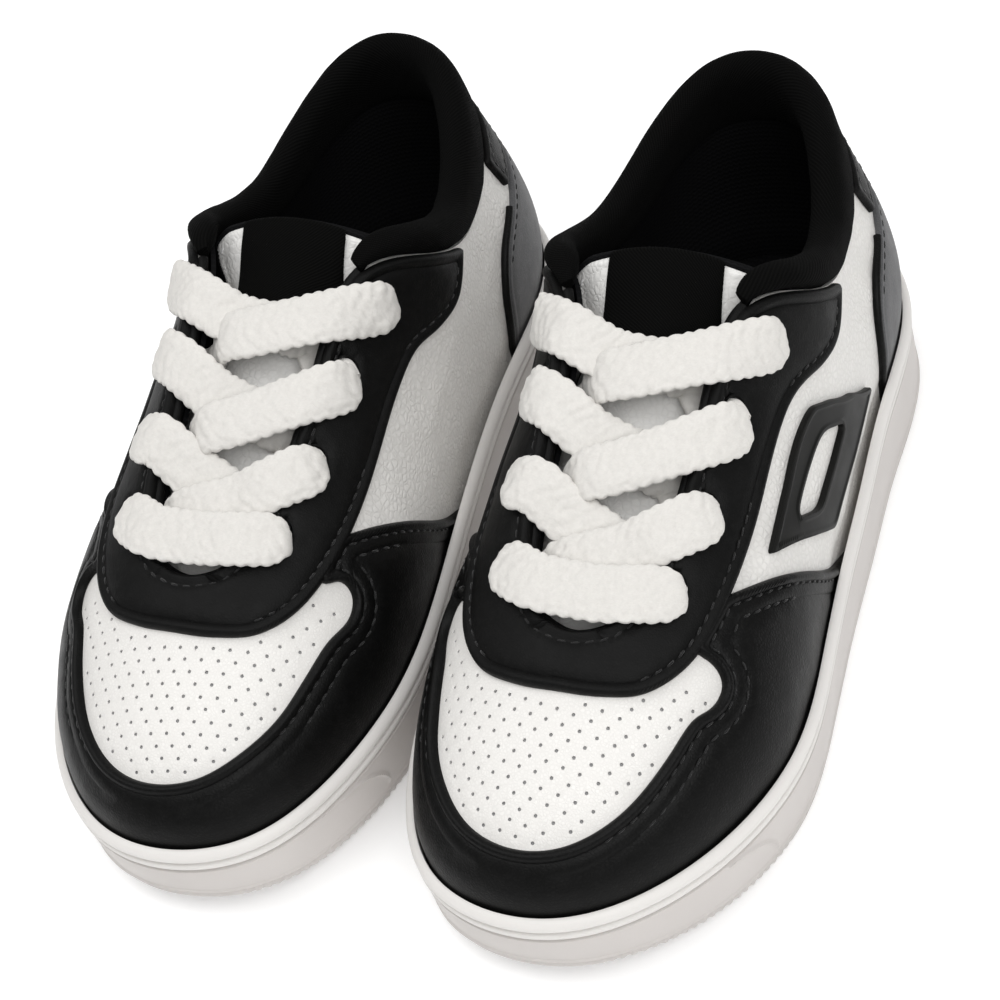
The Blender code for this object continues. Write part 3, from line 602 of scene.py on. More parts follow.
def make(name, points, faces, materials, kinds=None, weave=None, sharp=50):
    """A mesh object from millimetre points and triangles in the row frame."""
    points = np.asarray(points, float)
    faces = np.asarray(faces, np.int32)
    if volume(points, faces) < 0:
        faces = faces[:, ::-1]
    mesh = bpy.data.meshes.new(name)
    mesh.vertices.add(len(points))
    mesh.vertices.foreach_set("co", (points * MM).astype(np.float32).ravel())
    mesh.loops.add(faces.size)
    mesh.loops.foreach_set("vertex_index", faces.ravel())
    mesh.polygons.add(len(faces))
    mesh.polygons.foreach_set("loop_start", np.arange(0, faces.size, 3, dtype=np.int32))
    if kinds is not None:
        mesh.polygons.foreach_set("material_index", np.asarray(kinds, np.int32))
    mesh.update(calc_edges=True)
    mesh.validate()
    if weave is not None:
        layer = mesh.uv_layers.new(name="weave")
        index = np.empty(len(mesh.loops), np.int32)
        mesh.loops.foreach_get("vertex_index", index)
        layer.data.foreach_set("uv", (np.asarray(weave)[index] * MM).astype(np.float32).ravel())
    mesh.shade_smooth()
    if sharp:
        mesh.set_sharp_from_angle(angle=math.radians(sharp))
    for material in materials if isinstance(materials, (list, tuple)) else [materials]:
        mesh.materials.append(material)
    obj = bpy.data.objects.new(name, mesh)
    bpy.context.scene.collection.objects.link(obj)
    return obj


def placed(points, side):
    """Millimetre points of the left shoe's own frame, put in the row frame on either side."""
    return np.asarray(points, float) * (side, 1, 1) + (side * SHOE_X, SHOE_Y, 0)


def both(name, shape, materials, slot, body="shoe", node=None, kinds=None, weave=None, sharp=50):
    """The same piece on both shoes. Returns the two objects."""
    points, faces = shape
    made = []
    for prefix, side in PAIR:
        obj = make(f"{prefix}_{name}_look", placed(points, side), faces, materials, kinds, weave, sharp)
        if body == "tongue_blend":
            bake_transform(obj)
        else:
            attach(obj, f"{prefix}_{body}")
        for each in (node,) if isinstance(node, str) else node or ():
            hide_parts(f"{prefix}_{each}")
        made.append(obj)
    return made


def piece(name, shape, materials, slot, **settings):
    """A piece on both shoes that stands for the CAD node of the same name."""
    return both(name, shape[:2], materials, slot, node=name, **settings)


# ---------------------------------------------------------------- materials


class Look:
    """A node material under construction."""

    def __init__(self, name, colour, roughness):
        self.material = bpy.data.materials.new(name)
        self.material.use_nodes = True
        self.tree = self.material.node_tree
        self.shader = self.tree.nodes["Principled BSDF"]
        self.shader.inputs["Base Color"].default_value = (*colour, 1)
        self.shader.inputs["Roughness"].default_value = roughness
        self.material.diffuse_color = (*colour, 1)
        self.place = self.node("ShaderNodeTexCoord").outputs["Object"]
        self.bumps = []

    def node(self, kind, inputs=None, **settings):
        """A new node, whose inputs are values or other nodes' outputs."""
        made = self.tree.nodes.new(kind)
        for key, value in settings.items():
            setattr(made, key, value)
        for key, value in (inputs or {}).items():
            if isinstance(value, bpy.types.NodeSocket):
                self.tree.links.new(value, made.inputs[key])
            else:
                made.inputs[key].default_value = value
        return made

    def weave(self):
        """The piece's own weave coordinates."""
        return self.node("ShaderNodeUVMap", uv_map="weave").outputs["UV"]

    def noise(self, size, detail=3.0, rough=0.55, vector=None):
        """Noise whose features are about size millimetres across."""
        inputs = {"Scale": 1000.0 / size, "Detail": detail, "Roughness": rough}
        return self.node("ShaderNodeTexNoise", {"Vector": vector or self.place, **inputs}).outputs["Fac"]

    def cells(self, size, vector):
        """Distance to the edge of cells about size millimetres across."""
        inputs = {"Vector": vector, "Scale": 1000.0 / size}
        return self.node("ShaderNodeTexVoronoi", inputs, feature="DISTANCE_TO_EDGE").outputs["Distance"]

    def remap(self, value, low, high, to_low, to_high):
        """The value carried from one range to another."""
        inputs = {"Value": value, "From Min": low, "From Max": high, "To Min": to_low, "To Max": to_high}
        return self.node("ShaderNodeMapRange", inputs).outputs["Result"]

    def math(self, operation, a, b=0.0, c=0.0):
        """One step of arithmetic."""
        return self.node("ShaderNodeMath", {0: a, 1: b, 2: c}, operation=operation).outputs[0]

    def mixed(self, a, a_part, b, b_part):
        """Two patterns added in these parts."""
        return self.math("MULTIPLY_ADD", a, a_part, self.math("MULTIPLY", b, b_part))

    def stretched(self, vector, scale, turn=0.0):
        """The coordinates scaled and turned."""
        inputs = {"Vector": vector, "Scale": scale, "Rotation": (0, 0, turn)}
        return self.node("ShaderNodeMapping", inputs).outputs["Vector"]

    def bump(self, height, depth, strength=1.0):
        """Raises the surface by height (0 to 1) times depth millimetres."""
        self.bumps.append((height, depth, strength))

    def tint(self, factor, dark, light):
        """The base colour from dark to light as the factor goes from 0 to 1."""
        mix = self.node("ShaderNodeMix", {"Factor": factor}, data_type="RGBA")
        mix.inputs[6].default_value = (*dark, 1)
        mix.inputs[7].default_value = (*light, 1)
        self.tree.links.new(mix.outputs[2], self.shader.inputs["Base Color"])
        return mix.outputs[2]

    def rough(self, factor, low, high):
        """Uneven gloss, between two roughnesses."""
        self.tree.links.new(self.remap(factor, 0.25, 0.75, low, high), self.shader.inputs["Roughness"])

    def done(self, **constants):
        """Sets the shader's other inputs, chains the bumps, and returns the material."""
        constants.setdefault("Specular_IOR_Level", 0.3)
        for key, value in constants.items():
            self.shader.inputs[key.replace("_", " ")].default_value = value
        normal = None
        for height, depth, strength in self.bumps:
            inputs = {"Height": height, "Distance": depth * MM, "Strength": strength}
            if normal is not None:
                inputs["Normal"] = normal
            normal = self.node("ShaderNodeBump", inputs).outputs["Normal"]
        if normal is not None:
            self.tree.links.new(normal, self.shader.inputs["Normal"])
        return self.material


def leather(name, dark, light, roughness, cell, depth, fine, spread=0.06, specular=0.3):
    """Grained leather: creased cells of cell millimetres, with fine pebbling over them."""
    look = Look(name, light, roughness)
    drift = {"Vector": look.place, "Scale": 1000.0 / (cell * 2.6), "Detail": 2.0}
    drift = look.node("ShaderNodeTexNoise", drift).outputs["Color"]
    drift = look.node("ShaderNodeVectorMath", {0: drift, "Scale": cell * 0.9 * MM}, operation="SCALE")
    warped = {0: look.place, 1: drift.outputs["Vector"]}
    warped = look.node("ShaderNodeVectorMath", warped, operation="ADD").outputs["Vector"]
    creases = look.remap(look.cells(cell, warped), 0.0, 0.22, 0.0, 1.0)
    soft = look.noise(cell * 3.5, 3.0)
    grain = look.math("MULTIPLY", creases, look.remap(soft, 0.3, 0.7, 0.35, 1.0))
    pebbles = look.noise(fine, 2.0, 0.6)
    look.bump(soft, depth * 2.2, 0.5)
    look.bump(grain, depth, 0.8)
    look.bump(pebbles, depth * 0.5, 0.6)
    look.tint(look.mixed(pebbles, 0.35, grain, 0.65), dark, light)
    look.rough(look.noise(6.0, 4.0), roughness - spread, roughness + spread)
    return look.done(Specular_IOR_Level=specular)


def knit(name, dark, light, pitch, depth, twill=True, roughness=0.88, sheen=0.03, specular=0.03):
    """A ribbed weave that follows the piece's own weave coordinates."""
    look = Look(name, light, roughness)
    parts = look.node("ShaderNodeSeparateXYZ", {"Vector": look.weave()})
    x, y = parts.outputs["X"], parts.outputs["Y"]
    wobble = look.noise(5.0, 2.0)
    turn = 2 * math.pi / (pitch * MM)
    x_turn = look.math("MULTIPLY", x, turn)
    y_turn = look.math("MULTIPLY", y, turn)
    drift = look.math("MULTIPLY", wobble, 2.5)
    if twill:
        slanted = look.math("ADD", x_turn, look.math("MULTIPLY", y_turn, 0.85))
        ribs = look.math("SINE", look.math("ADD", slanted, drift))
        finer_x, finer_y = (look.math("MULTIPLY", way, 1.7) for way in (x_turn, y_turn))
        cross = look.math("SINE", look.math("SUBTRACT", finer_x, finer_y))
    else:
        flip = look.math("SINE", look.math("MULTIPLY", x_turn, 0.5))
        lean = look.math("MULTIPLY", look.math("ABSOLUTE", flip), 2.4)
        ribs = look.math("SINE", look.math("ADD", look.math("ADD", y_turn, lean), drift))
        cross = look.math("ABSOLUTE", flip)
    weave = look.math("MULTIPLY_ADD", ribs, 0.35, look.math("MULTIPLY_ADD", cross, 0.15, 0.5))
    fibres = look.noise(0.35, 3.0, 0.7)
    look.bump(weave, depth, 0.9)
    look.bump(fibres, depth * 0.6, 0.6)
    look.tint(look.mixed(fibres, 0.4, weave, 0.6), dark, light)
    look.rough(fibres, roughness - 0.05, roughness + 0.05)
    return look.done(Sheen_Weight=sheen, Sheen_Roughness=0.4, Specular_IOR_Level=specular)


def moulded(name, dark, light, roughness, depth=0.02, speck=0.5, **constants):
    """Moulded rubber or plastic: a faint texture, a little mottling and uneven gloss."""
    look = Look(name, light, roughness)
    fine = look.noise(speck, 3.0, 0.6)
    cloud = look.noise(22.0, 3.0)
    look.bump(fine, depth, 0.5)
    look.bump(cloud, depth * 4, 0.3)
    look.tint(look.mixed(fine, 0.3, cloud, 0.7), dark, light)
    look.rough(look.noise(9.0, 4.0), roughness - 0.05, roughness + 0.06)
    return look.done(**constants)


def braid():
    """Bright cotton yarn."""
    look = Look("lace_cotton", (0.9, 0.9, 0.89), 0.85)
    fibre_way = look.stretched(look.weave(), (1.0, 0.35, 1.0), 0.6)
    fibres = look.noise(0.22, 3.0, 0.7, fibre_way)
    tufts = look.noise(0.9, 3.0, 0.6)
    look.bump(tufts, 0.12, 0.7)
    look.bump(fibres, 0.06, 0.8)
    # The yarn darkens where the tufts sink: painted shade in the braid's crevices, over the yarn's own uneven
    # tone.
    look.tint(look.mixed(fibres, 0.5, tufts, 0.5), (0.52, 0.505, 0.48), (0.76, 0.74, 0.705))
    look.rough(tufts, 0.8, 0.92)
    return look.done(Sheen_Weight=0.15, Sheen_Roughness=0.5)


WHITE_TUMBLED = leather("white_tumbled_leather", (0.67, 0.655, 0.63), (0.8, 0.785, 0.76), 0.5, 1.5, 0.16, 0.5)
# The tongue's leather is a brighter copy of the white leather: painted light that lifts the shade falling
# between the laces.
WHITE_TONGUE_PAINTED_LIGHT = leather("tongue_leather_painted_light", (0.78, 0.77, 0.75), (0.89, 0.88, 0.86), 0.5, 1.5, 0.12, 0.5)
WHITE_FINE = leather("white_fine_leather", (0.68, 0.665, 0.64), (0.79, 0.775, 0.75), 0.46, 0.7, 0.05, 0.35)
BLACKS = (0.002, 0.002, 0.002), (0.006, 0.006, 0.0058)
BLACK_SMOOTH = leather("black_smooth_leather", *BLACKS, 0.4, 0.75, 0.05, 0.3, specular=0.1)
BLACK_MATTE = leather("black_matte_leather", *BLACKS, 0.47, 0.55, 0.05, 0.28, specular=0.1)
GRAY_SMOOTH = leather("gray_smooth_leather", (0.06, 0.06, 0.062), (0.1, 0.1, 0.104), 0.5, 0.7, 0.04, 0.3)
COLLAR_KNIT = knit("collar_knit", (0.0008, 0.0008, 0.0008), (0.005, 0.005, 0.0048), 0.85, 0.14, sheen=0.006)
STRAP_TWILL = knit("strap_twill", (0.0008, 0.0008, 0.0008), (0.0055, 0.0055, 0.0052), 0.7, 0.12, sheen=0.008)
MESH_BLACKS = (0.003, 0.003, 0.003), (0.011, 0.011, 0.012)
LINING_MESH = knit("lining_mesh", *MESH_BLACKS, 1.4, 0.12, twill=False, sheen=0.0)
# The sole's side wall and its rim are two copies of the same white rubber: the darker wall is painted shade
# over its own slightly pinker tone, and the lighter rim is painted light where it faces up.
SOLE_WALL_TINT_AND_SHADE = moulded("sole_wall_tint_and_painted_shade", (0.53, 0.5, 0.48), (0.6, 0.57, 0.548), 0.46)
SOLE_RIM_PAINTED_LIGHT = moulded("sole_rim_painted_light", (0.66, 0.64, 0.62), (0.74, 0.72, 0.695), 0.44)
TREAD = moulded("tread_rubber", (0.7, 0.685, 0.68), (0.78, 0.765, 0.76), 0.6, 0.04)
PLATE_BLACKS = (0.005, 0.005, 0.0046), (0.01, 0.01, 0.0092)
PLATE = moulded("badge_plate_black", *PLATE_BLACKS, 0.45, 0.015, 0.35, Specular_IOR_Level=0.1)
AGLET = moulded("aglet_film", (0.75, 0.75, 0.75), (0.85, 0.85, 0.85), 0.25, 0.005, Coat_Weight=0.6)
FOAM = moulded("foam_cells", (0.62, 0.6, 0.56), (0.78, 0.76, 0.73), 0.9, 0.15, 0.7)
BOARD_FIBRE = moulded("board_fibre", (0.4, 0.34, 0.26), (0.56, 0.5, 0.41), 0.9, 0.06, 0.5)
PORE = moulded("pore_shade", (0.26, 0.26, 0.26), (0.36, 0.36, 0.36), 0.8)
THREAD_BLACKS = (0.008, 0.008, 0.008), (0.035, 0.035, 0.035)
THREAD = knit("thread_black", *THREAD_BLACKS, 0.4, 0.05, roughness=0.5, sheen=0.3)
THREAD_WHITE = knit("thread_white", (0.6, 0.6, 0.6), (0.8, 0.8, 0.8), 0.4, 0.05, roughness=0.6, sheen=0.3)
COTTON = braid()

# ---------------------------------------------------------------- the upper

# Outer and inner face of each layer, in millimetres out from the skin.
BASE_LAYER, GUARD_LAYER, EYESTAY_LAYER, COUNTER_LAYER = (1.2, 0.0), (2.75, 1.25), (3.05, 1.3), (2.7, 1.25)
TAPE_LAYER, STIFF_LAYER, LINING_LAYER = (-0.3, -1.2), (-0.35, -1.25), (-1.55, -2.6)
BASE_TOP = 0.955  # where the white layer ends, under the eyestay
# The toe box's punched holes: spacing across and along, how the rows shift, lean and bow, and how far they
# stay from the opening's edge.
PORE_STEP, PORE_ROW = 3.36, 2.55
PORE_SHIFT, PORE_LEAN, PORE_BOW, PORE_CLEAR = 2.0, -0.165, 0.003, 1.0
# Outlines as (station, height) of the skin.
SEAM = ((4.4, T_LOW), (5.16, 0.09), (6.2, 0.43), (6.78, 0.6))
SEAM_INNER = ((4.4, T_LOW), (5.16, 0.09), (6.2, 0.43), (6.62, 0.545))
EYESTAY_EDGE = (
    (3.42, 0.89), (3.8, 0.72), (4.24, 0.645), (4.78, 0.625), (5.9, 0.61),
    (6.8, 0.615), (7.5, 0.61), (8.2, 0.65), (9.1, 0.72), (10.0, 0.755),
)
TOE_BOX_EDGE = (
    (7.44, 0.595), (7.36, 0.53), (7.37, 0.46), (7.55, 0.44), (7.84, 0.465),
    (8.22, 0.42), (8.8, 0.33), (9.4, 0.275), (10.0, 0.26),
)
GUARD_TUCK, GUARD_TUCK_INNER = ((6.93, 0.645), (7.5, 0.645)), ((6.76, 0.6), (7.22, 0.6))
COUNTER_EDGE = ((2.72, T_LOW), (2.74, 0.2), (2.66, 0.38), (2.42, 0.47), (2.0, 0.5), (1.0, 0.52), (0.0, 0.53))
EYESTAY_INNER = (
    (3.42, 0.89), (3.8, 0.71), (4.24, 0.635), (4.7, 0.61), (5.2, 0.575), (6.0, 0.56),
    (6.8, 0.56), (7.5, 0.58), (8.2, 0.64), (9.1, 0.72), (10.0, 0.755),
)
TOE_BOX_INNER = (
    (7.16, 0.55), (6.98, 0.5), (6.94, 0.42), (7.1, 0.385), (7.45, 0.41),
    (7.85, 0.39), (8.25, 0.355), (8.8, 0.32), (9.4, 0.275), (10.0, 0.26),
)
BADGE_CORNERS = (
    (4.66, 0.54), (4.25, 0.5), (3.8, 0.425), (3.24, 0.24), (4.0, 0.185),
    (4.8, 0.14), (5.4, 0.29), (6.2, 0.505), (5.5, 0.505),
)
BADGE_SLOT = ((4.6, 0.445), (4.12, 0.38), (4.58, 0.31), (5.05, 0.28), (5.6, 0.41), (5.05, 0.42))


def opposite(points):
    """The same points on the inner side, counted onward past the toe, in reverse order."""
    return [(ROUND - u, t) for u, t in reversed(list(points))]


def back_side(points):
    """The same points on the inner side, counted back from the heel, in reverse order."""
    return [(-u, t) for u, t in reversed(list(points))]


def whole(outer, inner):
    """A line up the outer side to the toe, and down the inner side."""
    return list(outer) + opposite(inner)[1:]


def collar_height(u):
    """How high up the skin the collar starts at station u, the same on both sides."""
    side = np.minimum(np.mod(u, ROUND), ROUND - np.mod(u, ROUND))
    return np.interp(side, [p[0] for p in COLLAR_EDGE], [p[1] for p in COLLAR_EDGE])


def along_collar(start, end, steps, under=EDGE):
    """Points just under the collar from one station to another."""
    return [(float(u), float(collar_height(u)) - under) for u in np.linspace(start, end, steps + 1)]


def corner_curve(corners, part, steps=5):
    """Runs of a closed outline whose corners are rounded, part of each side long."""
    rows = np.asarray(corners, float)
    points = []
    for before, here, after in zip(np.roll(rows, 1, 0), rows, np.roll(rows, -1, 0)):
        start = here + (before - here) * part
        end = here + (after - here) * part
        for s in np.linspace(0, 1, steps):
            points.append(start * (1 - s) ** 2 + 2 * here * s * (1 - s) + end * s * s)
    points.append(points[0])
    return [[tuple(p), tuple(q)] for p, q in zip(points, points[1:])]


def closed_runs(*runs):
    """Runs joined end to end, with straight runs across any gap, back to the start."""
    made = []
    for run in runs:
        run = list(run)
        if made and made[-1][-1] != run[0]:
            made.append([made[-1][-1], run[0]])
        made.append(run)
    if made[-1][-1] != made[0][0]:
        made.append([made[-1][-1], made[0][0]])
    return made


def wrinkle(size, depth, seed=0.0):
    """A gentle unevenness of the leather."""

    def relief(uv, spots, edge):
        values = [noise.noise(Vector(p) / size + Vector((seed, 0, 0))) for p in spots]
        return depth * np.array(values) * np.clip(edge / 3.0, 0, 1)

    return relief


def holes_between(low, high, radius=EYELET_R):
    """The eyelets between two stations, as (station, height, radius)."""
    places = EYELETS + tuple((ROUND - u, t) for u, t in EYELETS) + tuple((-u, t) for u, t in EYELETS)
    return [(u, t, radius) for u, t in places if low < u < high]


threads = {"shoe": [], "tongue": []}


def sew(surface, loop, distance, height, window=None, body="shoe", **sizes):
    """A row of stitches this far inside a panel's edge."""
    for run in ordered(surface, loop, distance, window=window):
        shape = stitch_mesh(surface, run, height, **sizes)
        if len(shape[0]):
            threads[body].append(shape)


def toe_box_pores():
    """Punched holes in a staggered grid over the part of the toe box that shows."""
    edges = closed_runs(
        whole(TOE_BOX_EDGE, TOE_BOX_INNER),
        [(ROUND - 7.3, 0.6)],
        [(ROUND - u, t) for u, t in EYESTAY_INNER[7:]],
        [(u, t) for u, t in EYESTAY_EDGE[6:][::-1]][1:],
    )
    opening = closed_outline(SKIN, edges, 1.0, 0)
    a, b = np.meshgrid(np.linspace(7.2, 12.8, 420), np.linspace(0.24, 0.78, 220), indexing="ij")
    sample = np.stack([a.ravel(), b.ravel()], -1)
    spots = SKIN.spots(sample)
    middle = SKIN.point(np.full(300, 10.0), np.linspace(0.05, 0.95, 300))
    climb = lengths(middle)
    rows = np.interp(np.arange(1.5, climb[-1], PORE_ROW), climb, middle[:, 1])
    found = []
    for row, y in enumerate(rows):
        for x in np.arange(-38, 38, PORE_STEP) + (PORE_STEP / 2 if row % 2 else 0.0):
            across = x - PORE_SHIFT
            along = y + PORE_LEAN * x + PORE_BOW * (x + PORE_SHIFT) ** 2
            gap = (spots[:, 0] - across) ** 2 + (spots[:, 1] - along) ** 2
            k = int(np.argmin(gap))
            if gap[k] < 0.3:
                found.append(sample[k])
    found = np.array(found)
    border = distance_to(SKIN.spots(found), SKIN.spots(opening))
    return found[inside(opening, found) & (border > PORE_CLEAR)]


def build_toe():
    """The white perforated toe box, and the black guard round it."""
    join = ROUND - PANEL_JOIN
    start = (PANEL_JOIN, T_LOW)
    toe_box = closed_runs([start, (join, T_LOW)], [(join, BASE_TOP)], [(PANEL_JOIN, BASE_TOP), start])
    shape = panel(
        SKIN, toe_box, *BASE_LAYER, holes_between(PANEL_JOIN, join), roll=0.0, pores=toe_box_pores(),
        soften=0, relief=wrinkle(9.0, 0.18), pitch=1.7,
    )
    piece("toe_box", shape, [WHITE_FINE, PORE], "white_leather", kinds=shape[2])

    seam, seam_inner = SEAM[:-1] + (GUARD_TUCK[0],), SEAM_INNER[:-1] + (GUARD_TUCK_INNER[0],)
    guard = closed_runs(
        seam,
        GUARD_TUCK,
        whole(GUARD_TUCK[-1:] + TOE_BOX_EDGE, GUARD_TUCK_INNER[-1:] + TOE_BOX_INNER),
        opposite(GUARD_TUCK_INNER),
        opposite(seam_inner),
        [(ROUND - SEAM[0][0], T_LOW), (15.0, T_LOW), (10.0, T_LOW), (5.0, T_LOW), SEAM[0]],
    )
    shape = panel(
        SKIN, guard, *GUARD_LAYER, roll=0.95, grooves=((2.2, 0.5), (4.9, 0.4)), bead=0.5,
        relief=wrinkle(12.0, 0.22, 3.0),
    )
    piece("toe_guard", shape, BLACK_SMOOTH, "black_leather")
    sew(SKIN, shape[4], 2.2, 2.5)
    sew(SKIN, shape[4], 4.9, 2.55)


def build_eyestay():
    """The black frame of the throat with its eight punched holes."""
    outer = whole(EYESTAY_EDGE, EYESTAY_INNER)
    front = [(u, MOUTH_EDGE) for u in (15.0, 12.5, 10.0, 7.5, 5.0)]
    top = along_collar(COLLAR_ENDS, 3.8, 3)
    eyestay = closed_runs(outer, opposite(top), front, top, [top[-1], outer[0]])
    shape = panel(
        SKIN, eyestay, *EYESTAY_LAYER, holes_between(0, ROUND), roll=1.2, grooves=((2.5, 0.45),), bead=0.35,
        relief=wrinkle(12.0, 0.25, 7.0), pitch=1.7,
    )
    piece("eyestay", shape, BLACK_MATTE, "black_leather")
    clear_of_collar = lambda uv: (uv[:, 1] < 0.84) | ((uv[:, 0] > 5.1) & (uv[:, 0] < ROUND - 5.1))
    sew(SKIN, shape[4], 2.5, 2.85, window=clear_of_collar)


def build_heel():
    """The gray counter cover, and the black tab over it."""
    edge = COUNTER_EDGE + tuple(back_side(COUNTER_EDGE))[1:]
    counter = closed_runs(edge, [(-2.72, T_LOW), (0.0, T_LOW), (2.72, T_LOW)])
    shape = panel(
        SKIN, counter, *COUNTER_LAYER, roll=0.8, grooves=((1.8, 0.2),), relief=wrinkle(14.0, 0.2, 11.0)
    )
    piece("heel_counter_cover", shape, GRAY_SMOOTH, "gray_leather")
    sew(SKIN, shape[4], 1.8, 2.6, window=lambda uv: uv[:, 1] > 0.4)

    low = [(1.85, 0.545)] + [(u, t + 0.02) for u, t in COUNTER_EDGE if u < 1.6]
    low = low + back_side(low)[1:]
    tab = closed_runs(low, along_collar(-1.95, 1.95, 9))
    shape = panel(SKIN, tab, *GUARD_LAYER, roll=0.85, grooves=((1.9, 0.2),), relief=wrinkle(10.0, 0.2, 17.0))
    piece("heel_tab", shape, BLACK_MATTE, "black_leather")
    sew(SKIN, shape[4], 1.9, 2.65)


def build_badge():
    """The slanted plate on the outer side."""
    shape = badge_panel(corner_curve(BADGE_CORNERS, 0.12), corner_curve(BADGE_SLOT, 0.3))
    piece("side_badge", shape, PLATE, "black_film", sharp=30)


def mesh_panel(name, surface, shape, body="shoe"):
    """A panel of the black mesh on both shoes, its weave running along the surface."""
    weave = shape[3] * surface.scale
    piece(name, shape, LINING_MESH, "black_textile", body=body, weave=weave)


def build_quarters():
    """Each side's white quarter, the bead along the counter, and the tape under the eyelets."""
    quarter_join = PANEL_JOIN - 0.03
    for name, sign in (("lateral", 1), ("medial", -1)):
        runs = [
            [(0.01, T_LOW), (3.5, T_LOW), (quarter_join, T_LOW)],
            [(quarter_join, T_LOW), (quarter_join, BASE_TOP)],
            [(quarter_join, BASE_TOP), (5.0, BASE_TOP)],
            along_collar(COLLAR_ENDS, 0.01, 14),
        ]
        if sign < 0:
            runs = [back_side(run) for run in runs[::-1]]
        holes = [(sign * u, t, EYELET_R) for u, t in EYELETS if 3 < u < PANEL_JOIN]
        shape = panel(
            SKIN, closed_runs(*runs), *BASE_LAYER, holes, roll=0.0, soften=0, relief=wrinkle(7.0, 0.3, 23.0),
            pitch=2.0,
        )
        piece(f"quarter_{name}", shape, WHITE_TUMBLED, "white_leather")
        line = [(u + 0.055, t + (0.02 if t > 0.4 else 0.0)) for u, t in COUNTER_EDGE if u > 1.9]
        bead = bead_along(line, sign, 2.0, 0.95)
        piece(f"piping_{name}", bead, BLACK_SMOOTH, "black_leather")
        tape = ((7.75, 0.74), (7.75, 0.95), (6.0, 0.96), (4.4, 0.95), (4.4, 0.76), (5.0, 0.72), (6.4, 0.72))
        runs = [[p, q] for p, q in zip(tape, tape[1:] + tape[:1])]
        if sign < 0:
            runs = [back_side(run) for run in runs[::-1]]
        holes = [(sign * u, t, EYELET_R) for u, t in EYELETS]
        shape = panel(SKIN, runs, *TAPE_LAYER, holes, roll=0.0, pitch=3.0, step=1.5)
        mesh_panel(f"eyelet_tape_{name}", SKIN, shape)


def build_stiffeners():
    """The moulded heel stiffener and the toe puff, both hidden between the layers."""
    top = [(u, t - 0.05) for u, t in along_collar(2.4, -2.4, 8)]
    heel = closed_runs([(-2.9, -0.12), (2.9, -0.12)], top)
    puff = [(8.2, -0.12), (8.1, 0.2), (8.6, 0.4), (9.3, 0.5), (10.0, 0.52)]
    for name, outline in (("heel_stiffener", heel), ("toe_puff", closed_runs(whole(puff, puff)))):
        shape = panel(SKIN, outline, *STIFF_LAYER, roll=0.0, pitch=3.5, step=2.0)
        piece(name, shape, BOARD_FIBRE, "stiffener")


def badge_panel(outer, slot):
    """A thin slanted plate with a slot and a raised border."""
    loop = closed_outline(SKIN, outer, 0.8, 1)
    hole = closed_outline(SKIN, slot, 0.8, 1)
    place, gap = (SKIN.spots(x) for x in (loop, hole))
    uv = [loop, hole]
    for distance in (0.15, 0.4, 0.9, 1.3, 1.6):
        ring = inset(SKIN, loop, distance)
        spots = SKIN.spots(ring)
        uv.append(ring[(distance_to(spots, place) > 0.93 * distance) & (distance_to(spots, gap) > 0.6)])
        ring = inset(SKIN, hole, -distance)
        spots = SKIN.spots(ring)
        uv.append(ring[(distance_to(spots, gap) > 0.93 * distance) & (distance_to(spots, place) > 0.6)])
    grid = np.array([(x, y) for y in np.arange(0.1, 0.56, 0.03) for x in np.arange(3.1, 6.4, 0.1)])
    grid = grid[inside(loop, grid) & ~inside(hole, grid)]
    spots = SKIN.spots(grid)
    uv.append(grid[(distance_to(spots, place) > 2.2) & (distance_to(spots, gap) > 2.2)])
    flat, faces, _ = triangles_between(SKIN, (loop, hole), uv)
    spots = SKIN.spots(flat)
    edge = np.minimum(distance_to(spots, place), distance_to(spots, gap))
    top, border, sunk = 2.75, 0.95, 0.3
    height = top - rounded(edge, 0.45) - sunk * np.clip((edge - border) / 0.4, 0, 1)
    normals = SKIN.normals(flat)
    return shell(spots + normals * height[:, None], spots + normals * 1.3, faces)[:2]


def rings_round(middle, x_way, x, y_way, y):
    """A ring of points at (x, y) round each place of a line, along the two ways given for that place."""
    return middle[:, None] + x_way[:, None] * x[None, :, None] + y_way[:, None] * y[None, :, None]


def bead_along(line, sign, height, radius, sides=12):
    """A round cord sewn along a line on the skin."""
    uv = respace(SKIN, catmull(line, 12), 1.0) * (sign, 1)
    middle = SKIN.at(uv[:, 0], uv[:, 1], np.full(len(uv), height))
    normal = SKIN.normals(uv)
    way = unit(np.gradient(middle, axis=0))
    side = unit(np.cross(normal, way))
    turn = turns(sides)
    return loft(rings_round(middle, side, radius * np.cos(turn), normal, radius * np.sin(turn)))


build_toe()
build_eyestay()
build_heel()
build_badge()
build_quarters()
build_stiffeners()

# ---------------------------------------------------------------- eyelets, linings and collar


def build_eyelets():
    """An embossed ring round each punched hole, and the dark wall of the hole."""
    parts = []
    sides, around = 24, 10
    for u, t in EYELETS + tuple((ROUND - u, t) for u, t in EYELETS):
        ring = circle(SKIN, u, t, EYELET_R - 0.25, sides)
        middle = SKIN.one(u, t)
        normal = SKIN.normal(np.array([u]), np.array([t]))[0]
        place = SKIN.spots(ring)
        out = unit(place - middle)
        rings = []
        for k in range(around):
            turn = 2 * math.pi * k / around
            rings.append(place + normal * (1.2 + 2.0 * math.sin(turn)) + out * (0.42 * math.cos(turn)))
        rings = np.stack(rings, 1)
        parts.append(loft(rings, closed_way=True))
    both("eyelet_rings", merged(parts), BLACK_MATTE, "black_leather")


